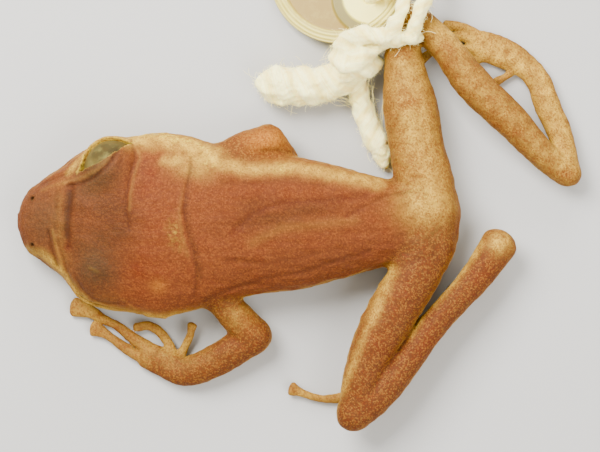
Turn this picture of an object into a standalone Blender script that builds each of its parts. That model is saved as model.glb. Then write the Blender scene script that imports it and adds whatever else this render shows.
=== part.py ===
# A small preserved robber frog lying on its belly, at life size, with the cotton tie and the
# blank tag that hang on its right knee. +X runs from the snout to the rump, +Y is the frog's
# right and +Z is up. The origin is on the surface it lies on, under the middle of the model.
import math

import bmesh
import bpy
from mathutils import Matrix, Vector

# Sizes are in millimetres. Every mesh is scaled to metres when it is finished, so that
# Blender's merge distances stay far below the smallest feature.
METRES_PER_MM = 0.001

GAP = 0.1  # what neighbouring pieces keep between their faces
TO_MIDDLE = (0.02, -0.02, 0.0)  # brings the middle of the whole model over the origin
FAR = 30.0  # side of the blocks that trim a piece

# The trunk and head are one loft along X, centred on this line.
SNOUT_X = -9.45
BODY_Y = -1.99

# Each row of the loft: distance behind the snout tip, sideways shift, half width, lowest
# point, height of the widest line, highest point, then how much the upper side slopes and
# how flat the back is.
BODY_ROWS = (
    (0.08, 0.08, 0.50, 0.42, 0.74, 1.06, 1.00, 0.90),
    (0.30, 0.07, 0.92, 0.24, 0.72, 1.32, 1.05, 0.80),
    (0.76, 0.10, 1.30, 0.08, 0.72, 1.58, 1.10, 0.74),
    (1.43, 0.07, 1.80, -0.06, 0.78, 1.90, 1.15, 0.72),
    (2.10, -0.01, 2.39, -0.10, 0.85, 2.14, 1.15, 0.72),
    (2.90, -0.02, 2.79, -0.10, 0.92, 2.34, 1.10, 0.74),
    (3.80, 0.00, 2.93, -0.10, 0.98, 2.48, 1.05, 0.78),
    (4.80, -0.04, 3.10, 0.04, 1.08, 2.60, 1.00, 0.82),
    (5.60, 0.00, 2.96, 0.34, 1.14, 2.64, 1.00, 0.84),
    (6.60, -0.02, 2.68, 0.62, 1.22, 2.64, 1.00, 0.86),
    (8.00, 0.00, 2.34, 0.66, 1.22, 2.52, 0.96, 0.86),
    (9.40, 0.02, 2.20, 0.58, 1.20, 2.42, 0.94, 0.84),
    (10.80, 0.04, 1.86, -0.12, 1.08, 2.32, 0.92, 0.82),
    (12.40, 0.06, 1.44, -0.10, 1.04, 2.14, 0.92, 0.82),
    (13.60, 0.06, 1.34, 0.20, 0.98, 1.80, 0.90, 0.86),
    (14.30, 0.08, 1.12, 0.42, 0.94, 1.50, 0.85, 0.95),
    (14.60, 0.08, 0.66, 0.62, 0.92, 1.24, 0.90, 1.00),
)
BODY_END = 14.66
BODY_STEPS = 40
UNDERSIDE_SLOPE = 0.78
UNDERSIDE_FLATNESS = 0.72
QUARTER_ANGLES = (0, 5, 13, 26, 40, 54, 67, 79)
RUMP_AT = (4.30, -1.94, 1.02)
RUMP_HALF = (0.92, 1.30, 0.86)
NECK_AT = 5.75  # where the head is parted from the trunk, behind the snout tip

# The mouth is a groove along the widest line of the head.
MOUTH_FROM = 0.05
MOUTH_TO = 4.30
MOUTH_DEPTH = 0.11

EYE_RADIUS = 0.98
LID_RADIUS = 1.14
EYE_RIGHT = (-6.22, -0.17, 1.36)
EYE_LEFT = (-6.60, -3.57, 1.10)
# Which way each eye looks, and half the length and height of the opening between its lids.
GAZE_RIGHT = (-0.38, 0.64, 0.66)
GAZE_LEFT = (-0.42, -0.86, 0.28)
SLIT_RIGHT = (0.96, 0.56)
SLIT_LEFT = (0.78, 0.20)
SLIT_DEPTH = 0.55

NOSTRIL_RADIUS = 0.10
NOSTRIL_AT = (0.52, 0.66, 1.30)  # behind the tip, off the middle, up

EARDRUM_RADIUS = 0.34
EARDRUM_RIM = 0.07
EARDRUM_AT = (4.62, 1.22)  # behind the tip, up

# Limbs are tubes through these rows: x, y, z, half width, half height. Most lengths of a limb
# start with the row that ends the length before.
ARM_LEFT_UPPER = (
    (-3.05, -4.06, 1.14, 0.50, 0.52),
    (-2.48, -4.72, 0.98, 0.54, 0.55),
    (-1.55, -5.74, 0.72, 0.57, 0.56),
)
ARM_LEFT_FORE = (
    ARM_LEFT_UPPER[-1],
    (-2.50, -6.38, 0.60, 0.55, 0.50),
    (-3.50, -6.88, 0.48, 0.53, 0.42),
    (-3.86, -6.98, 0.42, 0.53, 0.38),
)
HAND_LEFT = (
    ARM_LEFT_FORE[-1],
    (-4.62, -6.66, 0.29, 0.51, 0.30),
    (-5.36, -6.36, 0.23, 0.42, 0.25),
)
ARM_RIGHT_UPPER = (
    (-2.90, -0.30, 1.26, 0.54, 0.56),
    (-2.10, 0.38, 1.15, 0.60, 0.60),
    (-1.12, 0.69, 1.02, 0.66, 0.60),
)
ARM_RIGHT_FORE = (
    (-1.12, 0.69, 1.02, 0.62, 0.60),
    (-0.60, 0.04, 0.74, 0.56, 0.52),
    (-0.42, -0.88, 0.42, 0.48, 0.36),
    (-0.72, -1.84, 0.22, 0.42, 0.25),
)
HAND_RIGHT = (
    ARM_RIGHT_FORE[-1],
    (-1.30, -2.14, 0.20, 0.46, 0.24),
    (-1.90, -2.24, 0.19, 0.42, 0.23),
)
# Digits: rows as above, thin along the bone and a little wider at the tip.
FINGERS_LEFT = {
    "first": (
        (-4.05, -6.55, 0.25, 0.22, 0.22),
        (-3.86, -6.02, 0.36, 0.20, 0.20),
        (-3.70, -5.62, 0.46, 0.20, 0.20),
        (-3.66, -5.42, 0.48, 0.21, 0.21),
    ),
    "second": (
        (-4.34, -6.40, 0.25, 0.24, 0.22),
        (-4.50, -5.96, 0.27, 0.21, 0.21),
        (-4.80, -5.58, 0.27, 0.20, 0.20),
        (-5.20, -5.40, 0.27, 0.20, 0.20),
        (-5.54, -5.48, 0.22, 0.21, 0.20),
    ),
    "third": (
        (-5.10, -6.24, 0.23, 0.27, 0.24),
        (-5.72, -5.88, 0.21, 0.24, 0.22),
        (-6.66, -5.20, 0.21, 0.23, 0.21),
        (-7.06, -4.98, 0.21, 0.24, 0.21),
        (-7.42, -4.85, 0.21, 0.30, 0.21),
        (-7.66, -4.78, 0.21, 0.31, 0.21),
    ),
    "fourth": (
        (-5.20, -6.52, 0.21, 0.26, 0.23),
        (-5.90, -6.22, 0.21, 0.23, 0.22),
        (-6.40, -5.86, 0.21, 0.23, 0.21),
        (-6.78, -5.64, 0.21, 0.26, 0.21),
        (-7.02, -5.54, 0.21, 0.27, 0.21),
    ),
}
FINGERS_RIGHT = {
    "first": (
        (-1.34, -1.86, 0.25, 0.22, 0.22),
        (-1.50, -1.42, 0.23, 0.21, 0.21),
        (-1.72, -1.10, 0.23, 0.22, 0.21),
    ),
    "second": (
        (-1.80, -2.00, 0.23, 0.23, 0.22),
        (-2.28, -1.72, 0.22, 0.21, 0.21),
        (-2.72, -1.60, 0.22, 0.24, 0.21),
    ),
    "third": (
        (-1.90, -2.24, 0.23, 0.25, 0.22),
        (-2.60, -2.20, 0.22, 0.22, 0.21),
        (-3.30, -2.22, 0.22, 0.28, 0.21),
    ),
    "fourth": (
        (-1.80, -2.46, 0.23, 0.24, 0.22),
        (-2.26, -2.78, 0.22, 0.22, 0.21),
        (-2.70, -2.94, 0.22, 0.25, 0.21),
    ),
}

THIGH_LEFT = (
    (4.27, -2.66, 1.14, 0.90, 0.82),
    (3.62, -4.00, 1.30, 0.84, 0.84),
    (3.08, -4.86, 1.42, 0.84, 0.80),
    (2.28, -6.36, 1.46, 0.70, 0.72),
    (1.76, -8.29, 1.34, 0.58, 0.62),
)
SHANK_LEFT = (
    THIGH_LEFT[-1],
    (2.43, -7.82, 1.34, 0.56, 0.62),
    (3.30, -6.85, 1.32, 0.51, 0.60),
    (4.32, -5.47, 1.26, 0.49, 0.56),
    (5.71, -3.93, 1.14, 0.50, 0.50),
    (6.63, -2.69, 0.98, 0.63, 0.52),
)
TARSUS_LEFT = (
    (6.63, -2.69, 0.98, 0.61, 0.52),
    (6.01, -3.24, 0.44, 0.42, 0.32),
    (5.11, -4.29, 0.32, 0.40, 0.28),
    (4.13, -5.35, 0.24, 0.40, 0.26),
)
FOOT_LEFT = (
    TARSUS_LEFT[-1],
    (3.46, -6.09, 0.22, 0.48, 0.25),
    (2.86, -6.78, 0.21, 0.50, 0.23),
)
TOES_LEFT = {
    "first": (
        (3.63, -5.79, 0.22, 0.24, 0.22),
        (3.21, -5.63, 0.21, 0.21, 0.21),
        (2.87, -5.69, 0.21, 0.24, 0.21),
    ),
    "second": (
        (3.07, -6.31, 0.21, 0.24, 0.22),
        (2.53, -6.31, 0.21, 0.21, 0.21),
        (2.13, -6.43, 0.21, 0.25, 0.21),
    ),
    "third": (
        (2.89, -6.64, 0.21, 0.24, 0.22),
        (2.21, -6.98, 0.21, 0.21, 0.21),
        (1.70, -7.20, 0.21, 0.25, 0.21),
    ),
    "fourth": (
        (2.72, -6.98, 0.21, 0.25, 0.22),
        (1.90, -7.64, 0.21, 0.22, 0.21),
        (1.10, -7.90, 0.21, 0.22, 0.21),
        (0.58, -7.88, 0.22, 0.22, 0.21),
        (0.12, -7.73, 0.25, 0.22, 0.21),
        (-0.12, -7.62, 0.27, 0.25, 0.22),
        (-0.28, -7.56, 0.28, 0.27, 0.22),
    ),
    "fifth": (
        (2.97, -7.06, 0.21, 0.24, 0.22),
        (2.51, -7.70, 0.21, 0.21, 0.21),
        (2.11, -8.10, 0.21, 0.24, 0.21),
    ),
}

THIGH_RIGHT = (
    (4.22, -1.60, 1.10, 1.02, 0.82),
    (4.12, -0.66, 1.10, 1.00, 0.84),
    (3.92, 0.40, 1.08, 0.94, 0.84),
    (3.63, 2.06, 1.04, 0.88, 0.82),
    (3.50, 3.10, 1.06, 0.72, 0.72),
    (3.44, 4.00, 1.12, 0.56, 0.60),
    (3.78, 4.84, 1.18, 0.50, 0.56),
)
SHANK_RIGHT = (
    THIGH_RIGHT[-1],
    (4.60, 4.14, 1.20, 0.50, 0.56),
    (5.75, 2.70, 1.20, 0.61, 0.60),
    (6.94, 1.54, 1.10, 0.57, 0.56),
    (8.25, 0.24, 0.84, 0.47, 0.50),
    (8.97, -0.28, 0.66, 0.46, 0.48),
)
TARSUS_RIGHT = (
    (8.97, -0.28, 0.66, 0.44, 0.48),
    (8.75, 0.98, 0.46, 0.45, 0.38),
    (8.34, 2.00, 0.38, 0.45, 0.34),
    (7.90, 3.06, 0.29, 0.44, 0.30),
)
FOOT_RIGHT = (
    TARSUS_RIGHT[-1],
    (7.06, 3.70, 0.24, 0.52, 0.25),
    (6.07, 4.07, 0.21, 0.54, 0.23),
)
TOES_RIGHT = {
    "first": (
        (7.26, 3.26, 0.23, 0.24, 0.22),
        (6.95, 3.00, 0.21, 0.21, 0.21),
        (6.62, 2.84, 0.21, 0.24, 0.21),
    ),
    "second": (
        (6.26, 3.76, 0.21, 0.24, 0.22),
        (5.80, 3.46, 0.21, 0.21, 0.21),
        (5.40, 3.26, 0.21, 0.25, 0.21),
    ),
    "third": (
        (6.10, 3.95, 0.21, 0.24, 0.22),
        (5.40, 3.92, 0.21, 0.21, 0.21),
        (4.90, 3.78, 0.21, 0.25, 0.21),
    ),
    "fourth": (
        (6.05, 4.16, 0.21, 0.25, 0.22),
        (5.25, 4.36, 0.21, 0.22, 0.21),
        (4.57, 3.94, 0.21, 0.21, 0.21),
        (4.07, 3.56, 0.21, 0.26, 0.21),
    ),
    "fifth": (
        (6.10, 4.32, 0.21, 0.24, 0.22),
        (5.45, 4.70, 0.21, 0.21, 0.21),
        (4.92, 4.74, 0.21, 0.24, 0.21),
    ),
}

# The hips are flat cuts across the root of each thigh: the groin, the rump, and the way from
# the groin between the flank and the front of the thigh.
HIP_LEFT = ((3.04, -3.24), (5.60, -2.20), (-0.75, -0.66))
HIP_RIGHT = ((2.96, -0.30), (5.60, -1.12), (-0.60, 0.80))
HIP_REACH = 14.0

# Where limbs fold back on themselves the cut is set by hand: a point on it and its way.
KNEE_RIGHT_CUT = ((3.78, 4.84, 1.18), (0.93, 0.37, 0.0))
HEEL_RIGHT_CUT = ((8.97, -0.28, 0.66), (0.84, 0.54, 0.0))
HEEL_LEFT_CUT = ((6.11, -3.30, 0.68), (0.0, 0.10, -0.99))

LIMB_SIDES = 14
LIMB_STEPS = 9
DIGIT_SIDES = 8
DIGIT_STEPS = 5

# The tie: cotton cord through these rows, x, y, z and half its thickness.
CORD_WRAP_AT = (3.34, 4.10, 1.14)
CORD_WRAP_HALF = (0.62, 0.70)
CORD_WRAP_WAY = (0.10, 0.99, 0.06)
CORD_THICK = 0.24
CORD_END_LONG = (
    (1.25, 2.86, 0.72, 0.64),
    (0.65, 2.72, 0.64, 0.66),
    (0.15, 2.65, 0.64, 0.70),
    (-0.30, 2.62, 0.60, 0.62),
    (-0.76, 2.66, 0.60, 0.62),
    (-1.04, 2.70, 0.54, 0.52),
)
CORD_END_SHORT = (
    (1.96, 2.84, 0.58, 0.34),
    (2.04, 2.30, 0.42, 0.34),
    (2.34, 1.42, 0.32, 0.33),
    (2.60, 0.75, 0.31, 0.32),
    (2.80, 0.22, 0.30, 0.28),
)
CORD_LOOP_OVER = (
    (3.06, 4.30, 2.04, 0.22),
    (3.32, 5.02, 2.12, 0.22),
    (3.36, 5.56, 1.92, 0.24),
    (2.98, 5.82, 1.52, 0.23),
    (2.50, 5.68, 1.20, 0.22),
    (2.39, 5.65, 0.80, 0.22),
    (2.39, 5.65, 0.62, 0.22),
)
CORD_LOOP_UNDER = (
    (3.68, 4.36, 2.04, 0.22),
    (3.98, 5.12, 2.14, 0.23),
    (4.28, 5.90, 1.60, 0.24),
    (4.40, 6.50, 0.72, 0.24),
    (3.98, 6.60, 0.26, 0.23),
    (3.20, 6.02, 0.21, 0.21),
    (2.58, 5.72, 0.21, 0.21),
)
KNOT_BALLS = (
    ((1.84, 3.52, 0.88), (0.76, 0.84, 0.84)),
    ((1.50, 3.92, 0.90), (0.52, 0.58, 0.70)),
    ((2.12, 3.06, 0.74), (0.50, 0.52, 0.66)),
)
KNOT_BRIDGE = (
    (1.52, 4.12, 1.20, 0.30),
    (1.96, 4.28, 1.52, 0.30),
    (2.50, 4.26, 1.72, 0.29),
    (2.90, 4.20, 1.88, 0.27),
)

# The tag: a disc with a raised rim and a raised collar about its hole, tilted on the cord.
TAG_AT = (1.35, 6.50)
TAG_RADIUS = 2.40
TAG_THICK = 0.36
TAG_RIM = 0.40
TAG_FACE_DEPTH = 0.12
TAG_COLLAR_AT = (2.39, 5.65)
TAG_COLLAR_RADIUS = 0.95
TAG_HOLE_RADIUS = 0.38
TAG_TILT = math.radians(9.0)

COLOURS = {
    "skin": ((0.55, 0.24, 0.10), 0.42),
    "eye": ((0.32, 0.33, 0.22), 0.18),
    "cotton": ((0.86, 0.82, 0.66), 0.90),
    "card": ((0.62, 0.50, 0.28), 0.60),
}


def clear_scene():
    for item in list(bpy.data.objects):
        bpy.data.objects.remove(item, do_unlink=True)


def make_material(name):
    colour, roughness = COLOURS[name]
    made = bpy.data.materials.new(name)
    made.use_nodes = True
    shader = made.node_tree.nodes["Principled BSDF"]
    shader.inputs["Base Color"].default_value = (*colour, 1.0)
    shader.inputs["Roughness"].default_value = roughness
    return made


def object_of(name, bm):
    bmesh.ops.recalc_face_normals(bm, faces=bm.faces)
    mesh = bpy.data.meshes.new(name)
    bm.to_mesh(mesh)
    bm.free()
    made = bpy.data.objects.new(name, mesh)
    bpy.context.scene.collection.objects.link(made)
    return made


# A smooth run of rows through the given ones, evenly spaced by their own distance.
def through(rows, steps, distance):
    marks = [0.0]
    for before, after in zip(rows, rows[1:]):
        marks.append(marks[-1] + distance(before, after))
    made = []
    for step in range(steps + 1):
        at = marks[-1] * step / steps
        span = max(i for i in range(len(rows) - 1) if marks[i] <= at + 1e-9)
        share = (at - marks[span]) / (marks[span + 1] - marks[span])
        made.append([hermite(rows, marks, span, share, k) for k in range(len(rows[0]))])
    return made


def slope(rows, marks, i, k):
    low = max(i - 1, 0)
    high = min(i + 1, len(rows) - 1)
    return (rows[high][k] - rows[low][k]) / (marks[high] - marks[low])


def hermite(rows, marks, i, share, k):
    length = marks[i + 1] - marks[i]
    start = slope(rows, marks, i, k) * length
    end = slope(rows, marks, i + 1, k) * length
    square = share * share
    cube = square * share
    return (
        (2 * cube - 3 * square + 1) * rows[i][k]
        + (cube - 2 * square + share) * start
        + (3 * square - 2 * cube) * rows[i + 1][k]
        + (cube - square) * end
    )


# Rings of equal count joined by quads, closed at both ends by a single point.
def loft(name, first, rings, last):
    bm = bmesh.new()
    tip = bm.verts.new(first)
    tail = bm.verts.new(last)
    loops = [[bm.verts.new(point) for point in ring] for ring in rings]
    count = len(loops[0])
    for i in range(count):
        j = (i + 1) % count
        bm.faces.new((tip, loops[0][j], loops[0][i]))
        bm.faces.new((tail, loops[-1][i], loops[-1][j]))
        for near, distant in zip(loops, loops[1:]):
            bm.faces.new((near[i], near[j], distant[j], distant[i]))
    return object_of(name, bm)


def ring_angles():
    quarter = [math.radians(a) for a in QUARTER_ANGLES]
    turn = list(quarter)
    turn += [math.pi / 2] + [math.pi - a for a in reversed(quarter[1:])]
    turn += [math.pi + a for a in quarter]
    turn += [1.5 * math.pi] + [2 * math.pi - a for a in reversed(quarter[1:])]
    return turn


def signed_power(value, power):
    return math.copysign(abs(value) ** power, value)


def body_ring(row):
    behind, shift, half, low, wide, top, upper_slope, upper_flat = row
    ring = []
    for angle in ring_angles():
        across, up = math.cos(angle), math.sin(angle)
        is_upper = up >= 0
        side = signed_power(across, upper_slope if is_upper else UNDERSIDE_SLOPE)
        rise = signed_power(up, upper_flat if is_upper else UNDERSIDE_FLATNESS)
        reach = top - wide if is_upper else wide - low
        in_mouth = abs(up) < 1e-6 and MOUTH_FROM < behind < MOUTH_TO
        width = half - MOUTH_DEPTH if in_mouth else half
        ring.append((SNOUT_X + behind, BODY_Y + shift + width * side, wide + reach * rise))
    return ring


def make_body():
    rows = through(BODY_ROWS, BODY_STEPS, lambda a, b: b[0] - a[0])
    tip = (SNOUT_X, BODY_Y + BODY_ROWS[0][1], BODY_ROWS[0][4])
    end = (SNOUT_X + BODY_END, BODY_Y + BODY_ROWS[-1][1], BODY_ROWS[-1][4])
    body = loft("body", tip, [body_ring(row) for row in rows], end)
    return combine(body, [make_ball("rump", RUMP_AT, RUMP_HALF, rings=10, sides=20)], "UNION")


def between_points(a, b):
    return (Vector(a[:3]) - Vector(b[:3])).length


# The same rows with every half size made larger.
def grown(rows, by):
    return [(*row[:3], *(half + by for half in row[3:])) for row in rows]


# A tube of flattened sections with round ends.
def make_tube(name, rows, sides=LIMB_SIDES, steps=LIMB_STEPS):
    fine = through(rows, steps, between_points)
    points = [Vector(row[:3]) for row in fine]
    rings = []
    for i, row in enumerate(fine):
        along = (points[min(i + 1, steps)] - points[max(i - 1, 0)]).normalized()
        side = along.cross(Vector((0, 0, 1))).normalized()
        rise = side.cross(along)
        rings.append((points[i], along, side * row[3], rise * row[4]))
    return loft_rings(name, rings, sides)


def loft_rings(name, rings, sides):
    shaped = [round_end(rings[0], -1, share) for share in (0.9, 0.5)]
    shaped += rings
    shaped += [round_end(rings[-1], 1, share) for share in (0.5, 0.9)]
    loops = [ellipse(centre, side, rise, sides) for centre, _, side, rise in shaped]
    ends = [cap_point(rings[0], -1), cap_point(rings[-1], 1)]
    return loft(name, ends[0], loops, ends[1])


# A round cord whose sections turn as little as they can along the path.
def make_cord(name, rows, sides=9, steps=12):
    fine = through(rows, steps, between_points)
    points = [Vector(row[:3]) for row in fine]
    side = Vector((0.31, 0.52, 0.80))
    rings = []
    for i, row in enumerate(fine):
        along = (points[min(i + 1, steps)] - points[max(i - 1, 0)]).normalized()
        side = (side - along * side.dot(along)).normalized()
        rings.append((points[i], along, side * row[3], along.cross(side) * row[3]))
    return loft_rings(name, rings, sides)


def round_end(ring, way, share):
    centre, along, side, rise = ring
    reach = min(side.length, rise.length)
    shrink = math.sqrt(1 - share * share)
    return centre + along * way * reach * share, along, side * shrink, rise * shrink


def cap_point(ring, way):
    centre, along, side, rise = ring
    return centre + along * way * min(side.length, rise.length)


def turns_of(count):
    return [2 * math.pi * i / count for i in range(count)]


def ellipse(centre, side, rise, sides):
    return [centre + side * math.cos(turn) + rise * math.sin(turn) for turn in turns_of(sides)]


def make_ball(name, centre, radii, rings=10, sides=16, turn=None):
    bm = bmesh.new()
    bmesh.ops.create_uvsphere(bm, u_segments=sides, v_segments=rings, radius=1.0)
    place = Matrix.Translation(centre) @ (turn or Matrix.Identity(4)) @ Matrix.Diagonal((*radii, 1.0))
    bmesh.ops.transform(bm, matrix=place, verts=bm.verts)
    return object_of(name, bm)


# Turns +Z to look along the given way, with X kept level.
def facing_level(way):
    out = Vector(way).normalized()
    level = Vector((0, 0, 1)).cross(out).normalized()
    rise = out.cross(level)
    return Matrix((level, rise, out)).transposed().to_4x4()


def facing(way):
    return Vector(way).to_track_quat("Z", "Y").to_matrix().to_4x4()


def make_block(name, point, way):
    bm = bmesh.new()
    bmesh.ops.create_cube(bm, size=FAR)
    place = Matrix.Translation(point) @ facing(way) @ Matrix.Translation((0, 0, FAR / 2))
    bmesh.ops.transform(bm, matrix=place, verts=bm.verts)
    return object_of(name, bm)


def combine(target, others, operation):
    for other in others:
        step = target.modifiers.new(operation.lower(), "BOOLEAN")
        step.operation = operation
        step.object = other
        step.solver = "EXACT"
    graph = bpy.context.evaluated_depsgraph_get()
    graph.update()
    result = bpy.data.meshes.new_from_object(target.evaluated_get(graph))
    target.modifiers.clear()
    target.data = result
    for other in others:
        bpy.data.objects.remove(other, do_unlink=True)
    return target


# An upright slab over one whole hind leg, from the hip's line outward. The amount draws its
# hip face and its front face inward.
def hip_slab(name, hip, side, inset):
    groin, rump, front = (Vector((*pair, 0)) for pair in hip)
    along = (rump - groin).normalized()
    out = Vector((0, 0, 1)).cross(along) * side
    near = groin + along * inset + out * inset
    far = rump + along * 3 + out * inset
    bm = bmesh.new()
    corners = [near, far, far + out * HIP_REACH, near + front.normalized() * HIP_REACH]
    low = [bm.verts.new(corner + Vector((0, 0, -3))) for corner in corners]
    high = [bm.verts.new(corner + Vector((0, 0, 6))) for corner in corners]
    bm.faces.new(low)
    bm.faces.new(high)
    for i in range(4):
        bm.faces.new((low[i], low[i - 1], high[i - 1], high[i]))
    return object_of(name, bm)


# Removes what lies beyond a plane, half a gap short of it.
def trim(target, point, way, back=GAP / 2):
    out = Vector(way).normalized()
    return combine(target, [make_block("trim", Vector(point) - out * back, out)], "DIFFERENCE")


def copy_of(source, name):
    made = source.copy()
    made.data = source.data.copy()
    made.name = name
    bpy.context.scene.collection.objects.link(made)
    return made


# Drops the slivers that a cut leaves beside the main piece.
def keep_largest(target):
    bm = bmesh.new()
    bm.from_mesh(target.data)
    bm.verts.ensure_lookup_table()
    unseen = set(bm.verts)
    groups = []
    while unseen:
        group = [unseen.pop()]
        for vert in group:
            for edge in vert.link_edges:
                other = edge.other_vert(vert)
                if other in unseen:
                    unseen.remove(other)
                    group.append(other)
        groups.append(group)
    largest = max(groups, key=len)
    spare = [vert for group in groups if group is not largest for vert in group]
    bmesh.ops.delete(bm, geom=spare, context="VERTS")
    bm.to_mesh(target.data)
    bm.free()


# The plane that parts two lengths of a limb halves the bend between them.
def joint_plane(before, joint, after):
    centre = Vector(joint[:3])
    back = (Vector(before[:3]) - centre).normalized()
    on = (Vector(after[:3]) - centre).normalized()
    return centre, (on - back).normalized()


# Cuts both lengths at a joint's plane, so that they keep the gap.
def part_at(first, second, centre, out):
    out = Vector(out)
    trim(first, centre, out)
    trim(second, centre, -out)


# Every piece is cut flat where it meets the surface it lies on, then scaled to metres.
def finish(target, name, material):
    trim(target, (0, 0, 0), (0, 0, -1), back=0.0)
    keep_largest(target)
    target.name = name
    target.data.name = name
    target.data.transform(Matrix.Scale(METRES_PER_MM, 4) @ Matrix.Translation(TO_MIDDLE))
    target.data.materials.clear()
    target.data.materials.append(material)
    target.data.shade_smooth()
    target.data.set_sharp_from_angle(angle=math.radians(40))
    return target


# A bulge over the eye, then the opening between its lids and the socket that holds the eye.
def add_lid(head, centre, gaze, slit):
    lid = make_ball("lid", centre, (LID_RADIUS,) * 3, rings=12, sides=20)
    combine(head, [lid], "UNION")
    out = Vector(gaze).normalized()
    opening = make_ball(
        "opening",
        Vector(centre) + out * EYE_RADIUS,
        (*slit, SLIT_DEPTH),
        rings=10,
        sides=16,
        turn=facing_level(gaze),
    )
    socket = make_ball("socket", centre, (EYE_RADIUS + GAP * 0.8,) * 3, rings=12, sides=18)
    combine(head, [opening, socket], "DIFFERENCE")


# A closed ring: rows of points around each of its centres, then quads between them.
def loft_ring(name, loops):
    bm = bmesh.new()
    verts = [[bm.verts.new(point) for point in loop] for loop in loops]
    for here, onward in zip(verts, verts[1:] + verts[:1]):
        for k in range(len(here)):
            bm.faces.new((here[k], here[k - 1], onward[k - 1], onward[k]))
    return object_of(name, bm)


# The eardrum's rim, a thin ring let into the side of the head where a line from outside meets it.
def add_eardrum(head, side, turns=18, rim_sides=6):
    behind, up = EARDRUM_AT
    start = Vector((SNOUT_X + behind, BODY_Y + side * 6, up))
    _, spot, out, _ = head.ray_cast(start, Vector((0, -side, 0)))
    place = Matrix.Translation(spot - out * EARDRUM_RIM / 3) @ facing_level(out)
    loops = []
    for turn in turns_of(turns):
        ray = Vector((math.cos(turn), math.sin(turn), 0))
        ring = ellipse(ray * EARDRUM_RADIUS, ray * EARDRUM_RIM, Vector((0, 0, EARDRUM_RIM)), rim_sides)
        loops.append([place @ point for point in ring])
    combine(head, [loft_ring("eardrum", loops)], "UNION")


def make_head(body, skin):
    head = copy_of(body, "head")
    trim(head, (SNOUT_X + NECK_AT, BODY_Y, 1), (1, 0, 0))
    add_lid(head, EYE_RIGHT, GAZE_RIGHT, SLIT_RIGHT)
    add_lid(head, EYE_LEFT, GAZE_LEFT, SLIT_LEFT)
    behind, off, up = NOSTRIL_AT
    for side in (-1, 1):
        spot = (SNOUT_X + behind, BODY_Y + side * off, up)
        nostril = make_ball("nostril", spot, (NOSTRIL_RADIUS,) * 3, rings=6, sides=8)
        combine(head, [nostril], "DIFFERENCE")
        add_eardrum(head, side)
    return finish(head, "head", skin)


def digits(palm, table):
    tubes = [make_tube("digit", rows, DIGIT_SIDES, DIGIT_STEPS) for rows in table.values()]
    return combine(palm, tubes, "UNION")


def make_arm(side, rows, fingers, skin):
    upper_rows, fore_rows, hand_rows = rows
    upper = make_tube("upper", upper_rows)
    fore = make_tube("fore", fore_rows)
    hand = make_tube("hand", hand_rows)
    part_at(upper, fore, *joint_plane(upper_rows[-2], upper_rows[-1], fore_rows[1]))
    part_at(fore, hand, *joint_plane(fore_rows[-2], fore_rows[-1], hand_rows[1]))
    digits(hand, fingers)
    finish(upper, "upper_arm_" + side, skin)
    finish(fore, "forearm_" + side, skin)
    finish(hand, "hand_" + side, skin)


def make_leg(side, body, rows, toes, cuts, skin):
    thigh_rows, shank_rows, tarsus_rows, foot_rows = rows
    hip, knee_cut, heel_cut = cuts
    thigh = make_tube("thigh", thigh_rows, sides=18)
    combine(thigh, [copy_of(body, "pelvis")], "UNION")
    way = 1 if side == "right" else -1
    combine(thigh, [hip_slab("hip", hip, way, GAP / 2)], "INTERSECT")
    shank = make_tube("shank", shank_rows)
    tarsus = make_tube("tarsus", tarsus_rows)
    foot = make_tube("foot", foot_rows)
    part_at(thigh, shank, *knee_cut)
    if side == "right":
        combine(thigh, [wrap_room()], "DIFFERENCE")
        combine(shank, [wrap_room()], "DIFFERENCE")
    part_at(shank, tarsus, *heel_cut)
    part_at(tarsus, foot, *joint_plane(tarsus_rows[-2], tarsus_rows[-1], foot_rows[1]))
    digits(foot, toes)
    finish(thigh, "thigh_" + side, skin)
    finish(shank, "shank_" + side, skin)
    finish(tarsus, "tarsus_" + side, skin)
    finish(foot, "foot_" + side, skin)


def make_trunk(body, skin):
    trunk = copy_of(body, "trunk")
    roots = [make_tube("root", rows, sides=18) for rows in (THIGH_LEFT, THIGH_RIGHT)]
    combine(trunk, roots, "UNION")
    trim(trunk, (SNOUT_X + NECK_AT, BODY_Y, 1), (-1, 0, 0))
    cutters = [
        hip_slab("hip", HIP_LEFT, -1, -GAP / 2),
        hip_slab("hip", HIP_RIGHT, 1, -GAP / 2),
        make_tube("socket", grown(ARM_LEFT_UPPER, GAP)),
        make_tube("socket", grown(ARM_RIGHT_UPPER, GAP)),
        make_tube("socket", grown(ARM_RIGHT_FORE, GAP)),
    ]
    combine(trunk, cutters, "DIFFERENCE")
    return finish(trunk, "trunk", skin)


def make_disc(name, radius, low, high, sides=40):
    bm = bmesh.new()
    place = Matrix.Translation((0, 0, (low + high) / 2))
    bmesh.ops.create_cone(
        bm, cap_ends=True, segments=sides, radius1=radius, radius2=radius, depth=high - low, matrix=place
    )
    return object_of(name, bm)


# The tag's own frame: its underside is level and its middle is on the Z axis.
def tag_solid():
    tag = make_disc("tag", TAG_RADIUS, 0, TAG_THICK)
    face = make_disc("face", TAG_RADIUS - TAG_RIM, TAG_THICK - TAG_FACE_DEPTH, 1.0)
    combine(tag, [face], "DIFFERENCE")
    off = Vector((TAG_COLLAR_AT[0] - TAG_AT[0], TAG_COLLAR_AT[1] - TAG_AT[1], 0))
    collar = make_disc("collar", TAG_COLLAR_RADIUS, TAG_THICK / 2, TAG_THICK)
    hole = make_disc("hole", TAG_HOLE_RADIUS, -1.0, 2.0, sides=24)
    for piece in (collar, hole):
        piece.data.transform(Matrix.Translation(off))
    combine(tag, [collar], "UNION")
    return combine(tag, [hole], "DIFFERENCE")


def place_tag(tag):
    rise = TAG_RADIUS * math.sin(TAG_TILT) - 0.02
    tag.data.transform(Matrix.Translation((*TAG_AT, rise)) @ Matrix.Rotation(-TAG_TILT, 4, "Y"))
    return tag


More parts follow.
